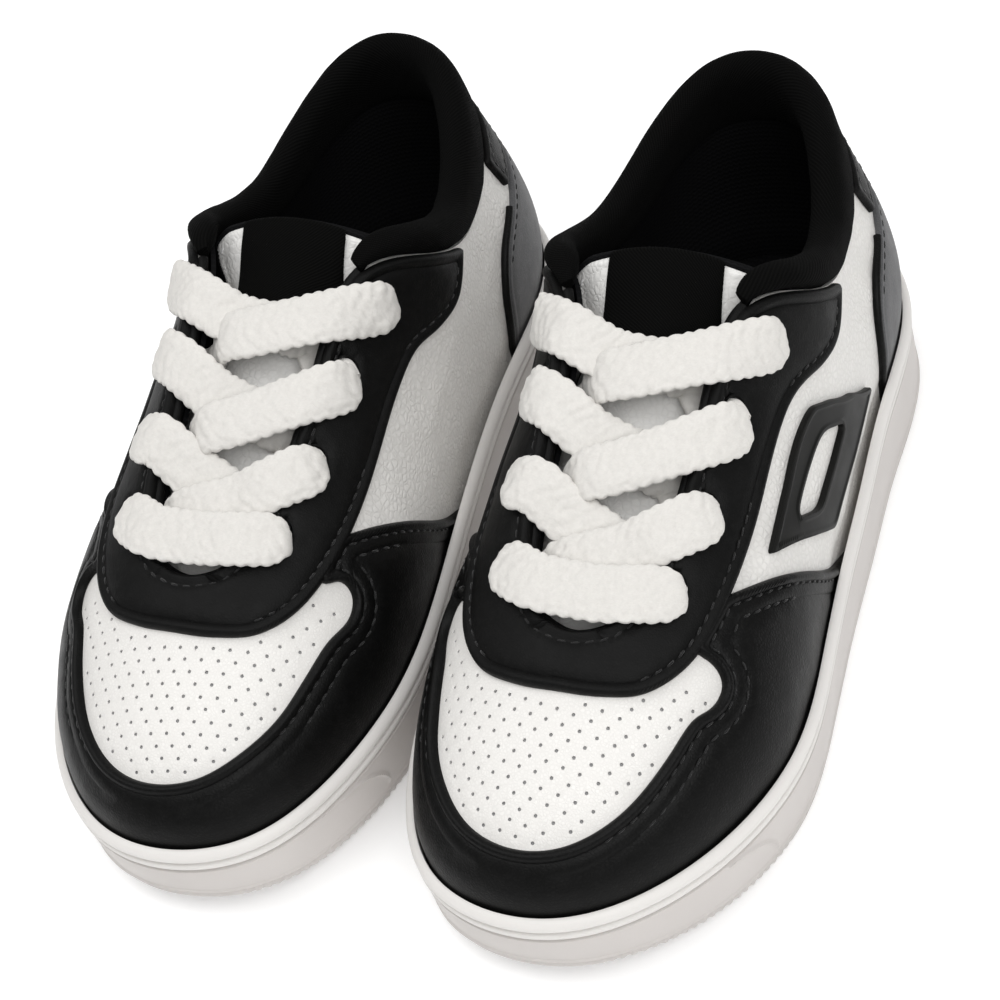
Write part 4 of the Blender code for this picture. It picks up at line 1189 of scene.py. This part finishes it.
def build_linings():
    """The linings of the forefoot and of the rear, and the binding of the throat's edge."""
    start, end, high = 5.5, 5.47, 0.985
    join = ROUND - start
    vamp = closed_runs(
        [(start, T_LOW), (10.0, T_LOW), (join, T_LOW)], [(join, high), (10.0, high), (start, high)]
    )
    quarter = closed_runs(
        [(-end, T_LOW), (0.0, T_LOW), (end, T_LOW)],
        [(end, high), (5.0, high)],
        along_collar(COLLAR_ENDS, -COLLAR_ENDS, 30),
        [(-5.0, high), (-end, high)],
    )
    for name, outline, holes in (
        ("vamp_lining", vamp, holes_between(start, join)),
        ("quarter_lining", quarter, holes_between(-end, end)),
    ):
        shape = panel(SKIN, outline, *LINING_LAYER, holes, roll=0.0, pitch=2.6, step=1.2, soften=0)
        mesh_panel(name, SKIN, shape)
    binding = [(float(u), 0.986) for u in np.linspace(4.9, ROUND - 4.9, 60)]
    both("throat_binding", bead_along(binding, 1, 0.2, 1.15), BLACK_MATTE, "black_leather")


CLOTH = {
    "quality": 6, "mass": 0.02, "tension_stiffness": 8, "compression_stiffness": 4, "bending_stiffness": 0.05,
    "use_pressure": True,
}


def relax(points, faces, pinned, name, pressure, cap, frames=20):
    """Blows a padded form up a little as cloth, with its sewn edge held; no point moves more than cap."""
    obj = make(name, points, faces, COLLAR_KNIT, sharp=0)
    group = obj.vertex_groups.new(name="sewn")
    group.add([int(k) for k in np.flatnonzero(pinned)], 1.0, "REPLACE")
    cloth = obj.modifiers.new("cloth", "CLOTH")
    for key, value in CLOTH.items():
        setattr(cloth.settings, key, value)
    cloth.settings.uniform_pressure_force = pressure
    cloth.settings.effector_weights.gravity = 0
    cloth.settings.vertex_group_mass = "sewn"
    scene = bpy.context.scene
    for step in range(1, frames + 1):
        scene.frame_set(step)
    graph = bpy.context.evaluated_depsgraph_get()
    solved = obj.evaluated_get(graph).to_mesh()
    moved = np.empty(len(points) * 3, np.float32)
    solved.vertices.foreach_get("co", moved)
    obj.evaluated_get(graph).to_mesh_clear()
    scene.frame_set(1)
    mesh = obj.data
    bpy.data.objects.remove(obj)
    bpy.data.meshes.remove(mesh)
    move = moved.reshape(-1, 3) / MM - points
    size = np.linalg.norm(move, axis=1)
    move *= np.minimum(1, cap / np.maximum(size, 1e-9))[:, None]
    return points + move


def closed_curve(points, count):
    """A closed smooth curve through section points, evenly spaced."""
    rows = np.asarray(points, float)
    curve = closed_spline(rows)(np.linspace(0, len(rows), 240, endpoint=False))
    along = lengths(np.vstack((curve, curve[:1])))
    places = np.linspace(0, along[-1], count, endpoint=False)
    curve = np.vstack((curve, curve[:1]))
    return np.stack([np.interp(places, along, curve[:, k]) for k in range(curve.shape[1])], -1)


def collar_section(u):
    """The roll's section at station u as (height on the skin, millimetres out), thinner toward its ends."""
    low = float(collar_height(u)) + EDGE * 0.2
    front = max(0.0, abs(u) - 3.2) / 1.55
    end = max(0.0, abs(u) - (COLLAR_ENDS - 0.35)) / 0.47
    slim = math.sqrt(max(0.04, 1 - end * end))
    inner = (-4.8 + 1.6 * front) * slim
    outer = 1 - 0.5 * (1 - slim)
    top = 1.085 - 0.01 * front
    top = low + (top - low) * (0.5 + 0.5 * slim)
    return np.array((
        (low, 1.3),
        (0.8 * low + 0.2 * top, 2.7 * outer),
        (0.45 * low + 0.55 * top, 2.9 * outer),
        (0.14 * low + 0.86 * top, 1.8 * outer),
        (top + 0.012, 0.25 * inner),
        (0.06 * low + 0.94 * top, 0.78 * inner),
        (0.4 * low + 0.6 * top, 1.02 * inner),
        (low, 0.86 * inner),
        (low - 0.02, 0.35 * inner),
    ))


def build_collar():
    """The padded knit roll round the foot's opening."""
    count, around = 190, 34
    rings, weave = [], []
    run = 0.0
    last = None
    for u in np.linspace(-COLLAR_ENDS - 0.12, COLLAR_ENDS + 0.12, count):
        section = collar_section(u)
        spots = SKIN.at(np.full(len(section), u), section[:, 0], section[:, 1])
        ring = closed_curve(spots, around)
        middle = ring.mean(0)
        if last is not None:
            run += np.linalg.norm(middle - last)
        last = middle
        girth = lengths(np.vstack((ring, ring[:1])))[-1]
        rings.append(ring)
        weave.append(np.stack([np.arange(around) / around * girth, np.full(around, run)], -1))
    points, faces = loft(rings)
    weave = np.vstack(weave + [weave[0].mean(0), weave[-1].mean(0)])
    section = np.arange(around)
    sewn = np.zeros(len(points), bool)
    held = (section < 2) | (section > around - 5)
    sewn[: count * around] = np.tile(held, count)
    sewn[: 2 * around] = True
    sewn[(count - 2) * around :] = True
    points = relax(points, faces, sewn, "collar_cloth", 4.0, 0.9)
    for k in range(count * around):
        if not sewn[k]:
            points[k] += 0.16 * noise.noise(Vector(points[k]) / 6.0)
    shape = points, faces
    pair = piece("collar_padding", shape, COLLAR_KNIT, "black_textile", weave=weave)


# ---------------------------------------------------------------- tongue


def tongue_runs(half, low, high, corner_up, corner_in):
    """The tongue's outline up one side, over the top and down the other, with rounded corners."""
    right = [(half, low), (half, 0.5 * (low + high)), (half, corner_up)]
    curve = [(half, corner_up), (half - 0.04, high - 0.035), (corner_in, high)]
    left = [(-u, t) for u, t in reversed(right)]
    curve_left = [(-u, t) for u, t in reversed(curve)]
    return closed_runs(right, curve, [(corner_in, high), (0.0, high), (-corner_in, high)], curve_left, left)


def build_tongue():
    """The tongue's white face, its foam and its lining, with their binding and the strap."""
    crown = lambda flat, spots, edge: 0.9 * np.clip(edge / 9.0, 0, 1) ** 0.6 - 0.2
    creases = wrinkle(7.0, 0.35, 31.0)
    relief = lambda flat, spots, edge: crown(flat, spots, edge) + creases(flat, spots, edge)
    face = tongue_runs(1.0, 0.0, 0.985, 0.93, 0.82)
    shape = panel(TONGUE, face, 0.0, -1.2, roll=1.0, grooves=((2.4, 0.25),), relief=relief, pitch=1.6)
    # The brighter leather here is painted light against the shade between the laces.
    piece("tongue_face", shape, WHITE_TONGUE_PAINTED_LIGHT, "white_leather", body="tongue_blend")
    for run in ordered(TONGUE, shape[4], 2.4, window=lambda uv: (uv[:, 1] > 0.45) & (np.abs(uv[:, 0]) > 0.4)):
        threads["tongue"].append(stitch_mesh(TONGUE, run, 0.2, length=1.7, radius=0.2))
    foam = tongue_runs(0.95, 0.03, 0.985, 0.93, 0.8)
    shape = panel(TONGUE, foam, -1.25, -4.75, roll=1.4, pitch=2.4, step=1.2)
    for obj in piece("tongue_foam", shape, FOAM, "foam", body="tongue_blend"):
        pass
    lining = tongue_runs(1.0, 0.0, 0.995, 0.94, 0.82)
    shape = panel(TONGUE, lining, -4.8, -5.8, roll=0.0, pitch=2.6, step=1.2)
    mesh_panel("tongue_lining", TONGUE, shape, body="tongue_blend")
    build_tongue_binding()
    build_strap()


def build_tongue_binding():
    """The black tape that wraps the tongue's raw edge, from one side over the top to the other."""
    runs = tongue_runs(0.995, 0.25, 0.993, 0.935, 0.82)
    line = np.vstack([catmull(run, 10) for run in runs[:-1]])
    keep = np.concatenate([[True], np.abs(np.diff(line, axis=0)).max(1) > 1e-6])
    uv = respace(TONGUE, line[keep], 1.0)
    middle = TONGUE.at(uv[:, 0], uv[:, 1], np.full(len(uv), -2.9))
    normal = TONGUE.normals(uv)
    way = unit(np.gradient(middle, axis=0))
    side = unit(np.cross(way, normal))
    count = 20
    turn = turns(count)
    flat = np.sign(np.sin(turn)) * np.abs(np.sin(turn)) ** 0.8
    rings = rings_round(middle, side, 1.05 * np.cos(turn), normal, 2.9 * flat)
    weave = with_ends(np.stack(np.meshgrid(lengths(middle), turn * 2, indexing="ij"), -1))
    both("tongue_binding", loft(rings), LINING_MESH, "black_textile", body="tongue_blend", weave=weave)


def build_strap():
    """Twill webbing down the middle of the tongue, folded over its top."""
    half_width, thick = 12.1, 0.5
    fold, bend = 0.998 - 0.012, 0.012
    top_in, top_out = -6.6, 1.15
    path = [(s, top_out) for s in np.linspace(0.55, fold, 60)]
    middle, radius = (top_in + top_out) / 2, (top_out - top_in) / 2
    for turn in np.linspace(0, math.pi, 16)[1:-1]:
        path.append((fold + bend * math.sin(turn), middle + radius * math.cos(turn)))
    path += [(s, top_in) for s in np.linspace(fold, 0.9, 16)]
    path = np.array(path)
    across = np.linspace(-1, 1, 41)
    part = half_width / TONGUE.point(np.ones(len(path)), path[:, 0])[:, 0]
    line = np.stack([TONGUE.at(v * part, path[:, 0], path[:, 1]) for v in across], 1)
    along = lengths(line[:, len(across) // 2])
    wide = lengths(line[0])
    du = np.gradient(line, axis=0)
    dv = np.gradient(line, axis=1)
    normal = unit(np.cross(dv, du))
    side = across[None, :, None]
    lift = 0.12 * np.cos(side * math.pi * 0.5)
    edge = thick * np.sqrt(np.clip(1 - np.abs(side) ** 12, 0.0, 1))
    upper = line + normal * (edge + lift)
    lower = line - normal * (edge - lift)
    shape = loft(np.concatenate([upper, lower[:, ::-1]], 1))
    half = np.stack(np.meshgrid(along, wide, indexing="ij"), -1)
    weave = with_ends(np.concatenate([half, half[:, ::-1]], 1))
    piece("tongue_strap", shape, STRAP_TWILL, "black_textile", body="tongue", weave=weave)


# ---------------------------------------------------------------- lace

LACE_W, LACE_T = 11.2, 2.7
# Where a strand crosses the throat: (distance from the middle toward its far eyelet, height over the throat's
# edge, how far toward the toe of the straight line between its eyelets).
UPPER_STRAND = ((-11.0, -5.6, 2.5), (-8.6, -0.6, 5.0), (-5.0, 3.9, 7.5), (0.5, 5.0, 9.3), (7.0, 4.8, 10.0))
LOWER_STRAND = ((-11.0, -5.6, -0.5), (-8.8, -2.6, 0.0), (-5.0, -0.3, 1.4), (0.5, 0.9, 3.8), (6.5, 2.0, 5.8))
UPPER_LEAN, LOWER_LEAN = (0.86, 1.0, 0.92), (0.4, 0.85, 1.1)
UPPER_DROP = (1.4, 0.2, 0.0)
EDGE_LEAN = (10.0, 6.6)
STRAND_WIDTHS = (7.5, 9.5, 10.8, LACE_W, LACE_W)
# For each row: height over the throat's edge, and how far past its eyelet a strand's end reaches, as
# (station, height).
ROW_OVER = (4.6, 4.3, 3.8, 3.3)
ROW_REACH = ((0.12, -0.02), (0.12, -0.012), (0.13, -0.025), (0.0, -0.03))
LOWER_REACH = ((0.1, 0.012), (0.05, 0.01), (0.05, 0.0), (0.0, -0.02))
BAR = ((4.5, 5.9, 7.6), (9.5, 5.8, 7.0))
# The fold at a strand's end: (ahead of its tip, out from the panel, degrees turned over, width, thickness).
FOLD = (
    (-3.2, 0.3, 0, LACE_W, LACE_T),
    (0.0, 0.2, 8, 10.2, LACE_T),
    (1.9, -0.3, 40, 7.6, 2.6),
    (2.3, -1.4, 95, 5.2, 2.4),
)
THROAT_SLOPE = np.array((0.0, -0.42, 0.9))


class Lace:
    """The flat braid's route, as places with the way it faces, its width and its thickness."""

    def __init__(self):
        self.places = []
        self.edge = SKIN.point(np.linspace(TOE, COLLAR_ENDS, 60), np.ones(60))

    def add(self, place, facing, width=LACE_W, thick=LACE_T):
        """One more place along the route."""
        self.places.append((np.asarray(place, float), np.asarray(facing, float), width, thick))

    def throat(self, y):
        """The throat's edge at this y: how far it is from the middle, and its height."""
        order = np.argsort(self.edge[:, 1])
        edge = self.edge[order]
        return np.interp(y, edge[:, 1], edge[:, 0]), np.interp(y, edge[:, 1], edge[:, 2])

    def eyelet(self, side, row):
        """An eyelet's place, the skin's normal there, and the way outward along the skin."""
        u, t = EYELETS[row]
        u = ROUND - u if side < 0 else u
        place = SKIN.one(u, t)
        normal = SKIN.normal(np.array([u]), np.array([t]))[0]
        across = np.array([side, 0.0, 0.0])
        return place, normal, unit(across - normal * (across @ normal))

    def dive(self, side, row, upper, back=-1.0):
        """Over the eyestay to just past the eyelet, then folded under itself and down through it."""
        place, normal, across = self.eyelet(side, row)
        reach = (ROW_REACH if upper else LOWER_REACH)[row]
        u, t = EYELETS[row][0] + reach[0], EYELETS[row][1] + reach[1]
        tip = SKIN.one(u if side > 0 else ROUND - u, t, 4.5)
        come = tip - self.places[-1][0]
        way = unit(come - normal * (come @ normal))
        for ahead, out, turn, width, thick in FOLD:
            lean = math.radians(turn)
            facing = way * math.sin(lean) + normal * math.cos(lean)
            self.add(tip + way * ahead + normal * out, facing, width, thick)
        self.add(place + normal * 1.7 + way * 0.5, way - normal * 0.4, 3.8, 2.8)
        self.add(place - normal * 2.8, across, 3.4, 3.2)
        self.add(place - normal * 4.8 + across * 1.4 * back, across - normal, 4.4, 2.4)
        if back < 0:
            self.add(place - normal * 5.3 - across * 3.6, normal, 6.0, 2.4)

    def cross(self, side, row, upper):
        """From inside this row's eyelet over the middle to the throat's far edge by the next row's."""
        low, high = self.eyelet(side, row)[0], self.eyelet(-side, row + 1)[0]
        slope = (high - low)[1] / abs((high - low)[0])
        lean = (UPPER_LEAN if upper else LOWER_LEAN)[row]
        for (x, height, toeward), width in zip(UPPER_STRAND if upper else LOWER_STRAND, STRAND_WIDTHS):
            y = low[1] + slope * (x + abs(low[0])) - toeward * lean
            height -= UPPER_DROP[row] * upper * (x > -6)
            self.add((-side * x, y, self.throat(y)[1] + height), THROAT_SLOPE, width)
        x = self.throat(y)[0] + 0.6
        y = low[1] + slope * (x + abs(low[0])) - EDGE_LEAN[0 if upper else 1] * lean
        self.add((-side * x, y, self.throat(y)[1] + ROW_OVER[row + 1]), THROAT_SLOPE + (-side * 0.25, 0, 0))

    def half(self, side, over):
        """From the bar's middle to one free end; over is the side whose strands lie on top."""
        self.places = []
        for x, height, toeward in BAR:
            y = self.eyelet(side, 0)[0][1] - toeward
            self.add((side * x, y, self.throat(y)[1] + height), THROAT_SLOPE)
        self.dive(side, 0, side != over)
        here = side
        for row in range(len(EYELETS) - 1):
            upper = here == over
            self.cross(here, row, upper)
            here = -here
            self.dive(here, row + 1, upper, 1.0 if row + 2 == len(EYELETS) else -1.0)
        for place in tucked_end(here):
            self.add(place, (1, 0, 0), 3.6, 2.4)
        return self.places


def tucked_end(sign):
    """The last two places of the lace on one side, tucked down inside from the top eyelet."""
    u, t = EYELETS[-1]
    moves = (-0.25, -0.16, -5.0), (-0.5, -0.33, -6.2)
    return [SKIN.one(sign * (u + du), t + dt, out) for du, dt, out in moves]


def lace_line(over, step=0.42):
    """The lace's whole route with even steps: the distance along it, its middle, the way it faces, the way
    across it, its width and its thickness."""
    lace = Lace()
    places = lace.half(-1, over)[::-1] + lace.half(1, over)
    middles = np.array([p[0] for p in places])
    facing = np.array([unit(p[1]) for p in places])
    sizes = np.array([[p[2], p[3]] for p in places])
    ahead = unit(np.gradient(middles, axis=0))
    frames = []
    for k in range(len(places)):
        normal = unit(facing[k] - ahead[k] * (facing[k] @ ahead[k]))
        if frames and normal @ frames[-1] < 0:
            normal = -normal
        frames.append(normal)
    dense = catmull(np.hstack([middles, np.array(frames), sizes]), 24)
    along = lengths(dense[:, :3])
    at = np.linspace(0, along[-1], int(along[-1] / step))
    dense = np.stack([np.interp(at, along, column) for column in dense.T], -1)
    for _ in range(3):
        dense[1:-1] = 0.25 * dense[:-2] + 0.5 * dense[1:-1] + 0.25 * dense[2:]
    middle = dense[:, :3]
    way = unit(np.gradient(middle, axis=0))
    normal = unit(dense[:, 3:6] - way * (dense[:, 3:6] * way).sum(-1, keepdims=True))
    return at, middle, normal, np.cross(way, normal), dense[:, 6:7], dense[:, 7:8]


def lace_shape(over, around=56):
    """The braid's surface: flattened rings along the route, raised in slanting tufts with scalloped edges."""
    at, middle, normal, wide, width, thickness = lace_line(over)
    turn = 2 * math.pi * (np.arange(around) + 0.5) / around
    shape_x = np.sign(np.cos(turn)) * np.abs(np.cos(turn)) ** 0.62
    shape_y = np.sign(np.sin(turn)) * np.abs(np.sin(turn)) ** 0.8
    s, x = np.meshgrid(at, shape_x, indexing="ij")
    full = np.clip((width - 3.5) / 6.0, 0, 1)  # how far the braid is spread out flat, from 0 to 1
    lateral = x * (width / 2)
    plait, column = 2.7, 1.85
    tuft, furrow_depth, scallop_depth = 0.2, 0.14, 0.42
    bank = np.sign(shape_y)[None, :]
    drift = np.array([noise.noise(Vector((a / 4.0, 0.0, 5.0))) for a in at])[:, None]
    lean = np.abs(lateral) * 0.7
    turned = s + lean * bank + 0.8 * drift
    ridge = np.abs(np.sin(math.pi * turned / plait))
    furrow = np.abs(np.cos(math.pi * (lateral + 0.5 * drift) / column))
    tufts = ridge**0.8 * tuft + furrow**0.7 * furrow_depth
    flatness = 1 - np.abs(shape_x)[None, :] ** 6
    scallop = scallop_depth * np.abs(np.sin(math.pi * (s + 0.6 * drift) / plait)) * np.abs(x) ** 4
    grow = full * (tufts - tuft) * flatness
    out_y = shape_y[None, :] * (thickness / 2) + bank * np.abs(shape_y)[None, :] ** 0.5 * grow
    out_x = lateral + np.sign(x) * full * (scallop - 0.12)
    rings = middle[:, None] + wide[:, None] * out_x[..., None] + normal[:, None] * out_y[..., None]
    spots = [Vector(p) for p in rings.reshape(-1, 3)]
    rough = [noise.noise(p / 1.7) * 0.34 + noise.noise(p / 0.75) * 0.12 for p in spots]
    rough = np.array(rough).reshape(rings.shape[:2])
    rings += normal[:, None] * (rough * full * bank)[..., None]
    return loft(rings), with_ends(np.stack([lateral, s], -1))


def build_lace():
    """The braid on each shoe, and the tips of its two ends."""
    for prefix, side in PAIR:
        (points, faces), weave = lace_shape(-side)
        obj = make(f"{prefix}_lace_look", placed(points, side), faces, COTTON, weave=weave, sharp=0)
        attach(obj, f"{prefix}_shoe")
        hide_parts(f"{prefix}_lace")
    for name, sign in (("lateral", 1), ("medial", -1)):
        ends = tucked_end(sign)
        way = unit(ends[1] - ends[0])
        side_way = unit(np.cross(way, (1.0, 0, 0)))
        up_way = np.cross(way, side_way)
        rings = []
        turn = turns(16)
        circle_ways = np.outer(np.cos(turn), side_way) + np.outer(np.sin(turn), up_way)
        for s, r in ((0.3, 1.3), (0.5, 1.6), (6, 1.6), (11.4, 1.55), (12.0, 1.2)):
            rings.append(ends[1] + way * s + r * circle_ways)
        piece(f"aglet_{name}", loft(rings), AGLET, "aglet")


# ---------------------------------------------------------------- sole


def round_ring(u, offset, height):
    """A loop round the shoe: offset from the feather line and height, each an array over the stations u."""
    row = station(u)
    place = np.stack([row[:, 0], row[:, 1], np.zeros(len(u))], -1) + outward(u) * np.reshape(offset, (-1, 1))
    place[:, 2] = height
    return place


def ladder(first, count):
    """A cap of straight rungs from the outer side to the inner side."""
    faces = []
    for k in range(count // 2):
        a, b = first + k, first + k + 1
        c, d = first + (count - k - 1) % count, first + (count - k) % count
        faces += [(a, b, c), (a, c, d)]
    return np.array([f for f in faces if len(set(f)) == 3])


def capped_loft(rings):
    """Triangles between rings that run round the shoe, closed below and above by caps of rungs."""
    points, faces = loft(rings, closed_ends=False)
    count = len(rings[0])
    low = ladder(0, count)[:, ::-1]
    high = ladder((len(rings) - 1) * count, count)
    return points, np.concatenate([faces, low, high])


# The moulded line round the side in millimetres, and the arc from the rim's groove down to it in stations.
LINE_HEIGHT, ARC_START, ARC_RUN = 3.3, 7.95, 0.55
# The top of the side, as (how far below the rim's height, how far out past RIM_OUT): the lower groove, then
# the rim with its own groove and bead.
LOWER_GROOVE = ((6.35, 0.1), (6.2, -0.05), (5.95, -1.0), (5.45, -1.0))
RIM = (
    (5.2, 0.0), (5.0, 0.3), (4.5, 0.45), (4.0, 0.35), (3.75, 0.1), (3.5, -1.0), (3.0, -1.0), (2.8, 0.1),
    (2.6, 0.35), (2.3, 0.52), (1.9, 0.58), (1.4, 0.5), (0.9, 0.22), (0.45, -0.15), (0.2, -0.55),
    (0.08, -0.95), (0.12, -1.3),
)


def build_sole():
    """The cupsole from its foot up to the rim and down inside, the tread, and the layers within."""
    count = 960
    u = np.arange(count) * ROUND / count
    y = station(u)[:, 1]
    along = lengths(round_ring(np.append(u, ROUND), np.full(count + 1, RIM_OUT), 0.0))[:-1]
    ground, rim, out = ground_height(y), rim_height(y), ground_out(y)
    rings = []

    def add(offset, height):
        rings.append(round_ring(u, offset, height))

    side = np.minimum(u, ROUND - u)
    forefoot = np.clip((side - 7.1) / 0.3, 0, 1) * np.clip((9.3 - side) / 0.3, 0, 1)
    tooth = np.abs(((along / 2.3) % 1.0) * 2 - 1)
    teeth = forefoot * np.clip((tooth - 0.35) * 3, 0, 1)
    add(out - 3.4, ground + 1.4)
    add(out - 3.3, ground + 0.25)
    add(out - 3.0, ground)
    add(out - 1.1, ground)
    add(out - 0.55 - 0.35 * teeth, ground + 0.1)
    add(out - 0.15 - 0.38 * teeth, ground + 0.5)
    add(out - 0.35 * teeth, ground + 1.1)
    low, high = ground + 1.6, rim - 6.5
    run = np.clip((ARC_START - side) / ARC_RUN, 0, 1)
    drop = high - ground - LINE_HEIGHT
    crest = high - drop * (1 - np.sqrt(1 - run**2))
    steep = drop * run / np.sqrt(np.maximum(1 - run**2, 0.01)) / (ARC_RUN * 17.0)
    for part in np.linspace(0.02, 1, 46):
        belly = 0.28 * math.sin(math.pi * part)
        height = low + (high - low) * part
        base = out + (RIM_OUT - out) * part
        apart = (height - crest) / np.sqrt(1 + steep**2)
        ridge = 0.6 * np.exp(-((apart / 0.3) ** 2)) * (run > 0) * (run < 1)
        over = height - ground - LINE_HEIGHT
        line = 0.5 * np.exp(-((over / 0.3) ** 2)) - 0.35 * np.clip(-over / 0.4, 0, 1)
        cut = teeth * 0.35 * np.clip((0.16 - part) / 0.1, 0, 1)
        add(base + belly + np.maximum(ridge, line) * (over > -0.2) + line * (over <= -0.2) - cut, height)
    for drop, extra in LOWER_GROOVE:
        add(RIM_OUT + extra, rim - drop)
    rim_start = len(rings)
    for drop, extra in RIM:
        add(RIM_OUT + extra, rim - drop)
    add(WALL_IN + 0.08, rim - 0.35)
    add(WALL_IN, rim - 0.8)
    add(WALL_IN, rim - TURN_UNDER - 1.0)
    floor = np.minimum(WALL_IN, out - 1.6)
    add(floor, ground + SOLE_FLOOR)
    shape = capped_loft(rings)
    # Faces of the rim take the lighter copy of the rubber: painted light on the rim, and painted shade on the
    # wall below it.
    kinds = (shape[1].min(1) >= rim_start * count).astype(int)
    piece("cupsole", shape, [SOLE_WALL_TINT_AND_SHADE, SOLE_RIM_PAINTED_LIGHT], "sole_rubber", kinds=kinds, sharp=45)
    both("tread", tread(), TREAD, "sole_rubber", sharp=35)
    top, wall = board_top(y), np.full(count, WALL_IN - 2 * GAP)
    foam = (floor - GAP, ground + SOLE_FLOOR + GAP), (floor - GAP, top - BOARD - GAP)
    board = (floor - GAP, top - BOARD), (wall, top)
    for name, rings, material, slot in (
        ("midsole_foam", foam, FOAM, "foam"),
        ("insole_board", board, BOARD_FIBRE, "board"),
    ):
        keep = slice(None, None, 8)
        shape = capped_loft([round_ring(u[keep], a[keep], b[keep]) for a, b in rings])
        piece(name, shape, material, slot)
    keep = slice(None, None, 4)
    top = board_top(y)[keep] + SOCKLINER
    edge = np.full(len(top), -2.9)
    rings = [(edge, top - SOCKLINER + GAP)]
    for inward, down in ((0.0, 1.0), (0.3, 0.3), (0.9, 0.05), (2.2, 0.25), (4.0, 0.7), (8.0, 0.8)):
        rings.append((edge - inward, top - down))
    shape = capped_loft([round_ring(u[keep], a, b) for a, b in rings])
    piece("sockliner", shape, LINING_MESH, "black_textile", weave=shape[0][:, :2])


def tread():
    """Wavy lugs under the sole, cut off at its edge."""
    u = np.arange(400) * ROUND / 400
    edge = round_ring(u, ground_out(station(u)[:, 1]) - 3.6, 0.0)[:, :2]
    parts = []
    pitch, width, top = 6.0, 3.6, 1.6
    for y in np.arange(TOE_Y - 2, HEEL_Y + 4, pitch):
        x = np.linspace(-45, 45, 181)
        line = np.stack([x, y + 2.2 * np.sin(x / 3.2)], -1)
        reach = (0, width * 0.55)
        keep = inside(edge, line) & inside(edge, line + reach) & inside(edge, line - reach)
        if keep.sum() < 8:
            continue
        line = line[keep]
        rings = []
        for px, py in line:
            low = float(ground_height(py))
            rings.append(
                [(px, py - width / 2, low + top), (px, py - width / 2 + 0.25, low + 0.06),
                 (px, py + width / 2 - 0.25, low + 0.06), (px, py + width / 2, low + top)]
            )
        parts.append(loft(rings))
    return merged(parts)


build_eyelets()
build_linings()
build_collar()
build_tongue()
build_lace()
build_sole()
shape = merged(threads["shoe"])
both("seam_thread", shape, THREAD, "black_textile", weave=shape[0][:, :2], sharp=0)
shape = merged(threads["tongue"])
both("tongue_thread", shape, THREAD_WHITE, "white_leather", body="tongue", weave=shape[0][:, :2], sharp=0)

# ---------------------------------------------------------------- camera, light and floor


def add_camera():
    """The camera fitted to the picture."""
    data = bpy.data.cameras.new("camera")
    data.sensor_width = 36.0
    data.lens = 2.4134 * 36.0
    data.clip_start, data.clip_end = 0.01, 20.0
    camera = bpy.data.objects.new("camera", data)
    right = Vector((0.92448, 0.32841, -0.19359))
    up = Vector((-0.11452, 0.72360, 0.68065))
    back = right.cross(up).normalized()
    up = back.cross(right)
    turn = Matrix((right, up, back)).transposed().to_4x4()
    camera.matrix_world = Matrix.Translation(Vector((195.2, -323.1, 402.25)) * MM) @ turn
    bpy.context.scene.collection.objects.link(camera)
    bpy.context.scene.camera = camera


def area_light(name, place, target, size, power):
    """A round soft light that looks at its target."""
    data = bpy.data.lights.new(name, "AREA")
    data.shape = "DISK"
    data.size = size
    data.energy = power
    light = bpy.data.objects.new(name, data)
    light.location = place
    light.rotation_euler = (Vector(target) - Vector(place)).to_track_quat("-Z", "Y").to_euler()
    bpy.context.scene.collection.objects.link(light)


def add_stage():
    """A bright plain room: the world's light, white paper underneath, and three soft lights."""
    world = bpy.data.worlds.new("studio")
    world.use_nodes = True
    world.node_tree.nodes["Background"].inputs["Color"].default_value = (1, 1, 1, 1)
    world.node_tree.nodes["Background"].inputs["Strength"].default_value = 0.4
    bpy.context.scene.world = world
    bpy.context.scene.view_settings.view_transform = "Standard"
    mesh = bpy.data.meshes.new("floor")
    reach = 6.0
    corners = [(-reach, -reach, 0), (reach, -reach, 0), (reach, reach, 0), (-reach, reach, 0)]
    mesh.from_pydata(corners, [], [(0, 1, 2, 3)])
    floor = bpy.data.objects.new("floor", mesh)
    floor.location.z = -0.0002
    look = Look("floor_paper", (0.95, 0.95, 0.95), 0.9)
    look.tint(look.noise(400.0, 2.0), (0.94, 0.94, 0.94), (0.96, 0.96, 0.96))
    look.shader.inputs["Emission Color"].default_value = (1, 1, 1, 1)
    mesh.materials.append(look.done(Emission_Strength=0.16))
    bpy.context.scene.collection.objects.link(floor)
    area_light("key", (-0.45, -0.1, 1.25), (0, 0, 0.04), 1.2, 8.6)
    area_light("fill", (0.5, -0.45, 0.85), (0, 0, 0.04), 0.9, 6.5)
    area_light("rim", (0.3, 0.9, 0.9), (0, 0, 0.05), 0.8, 1.5)


add_camera()
add_stage()
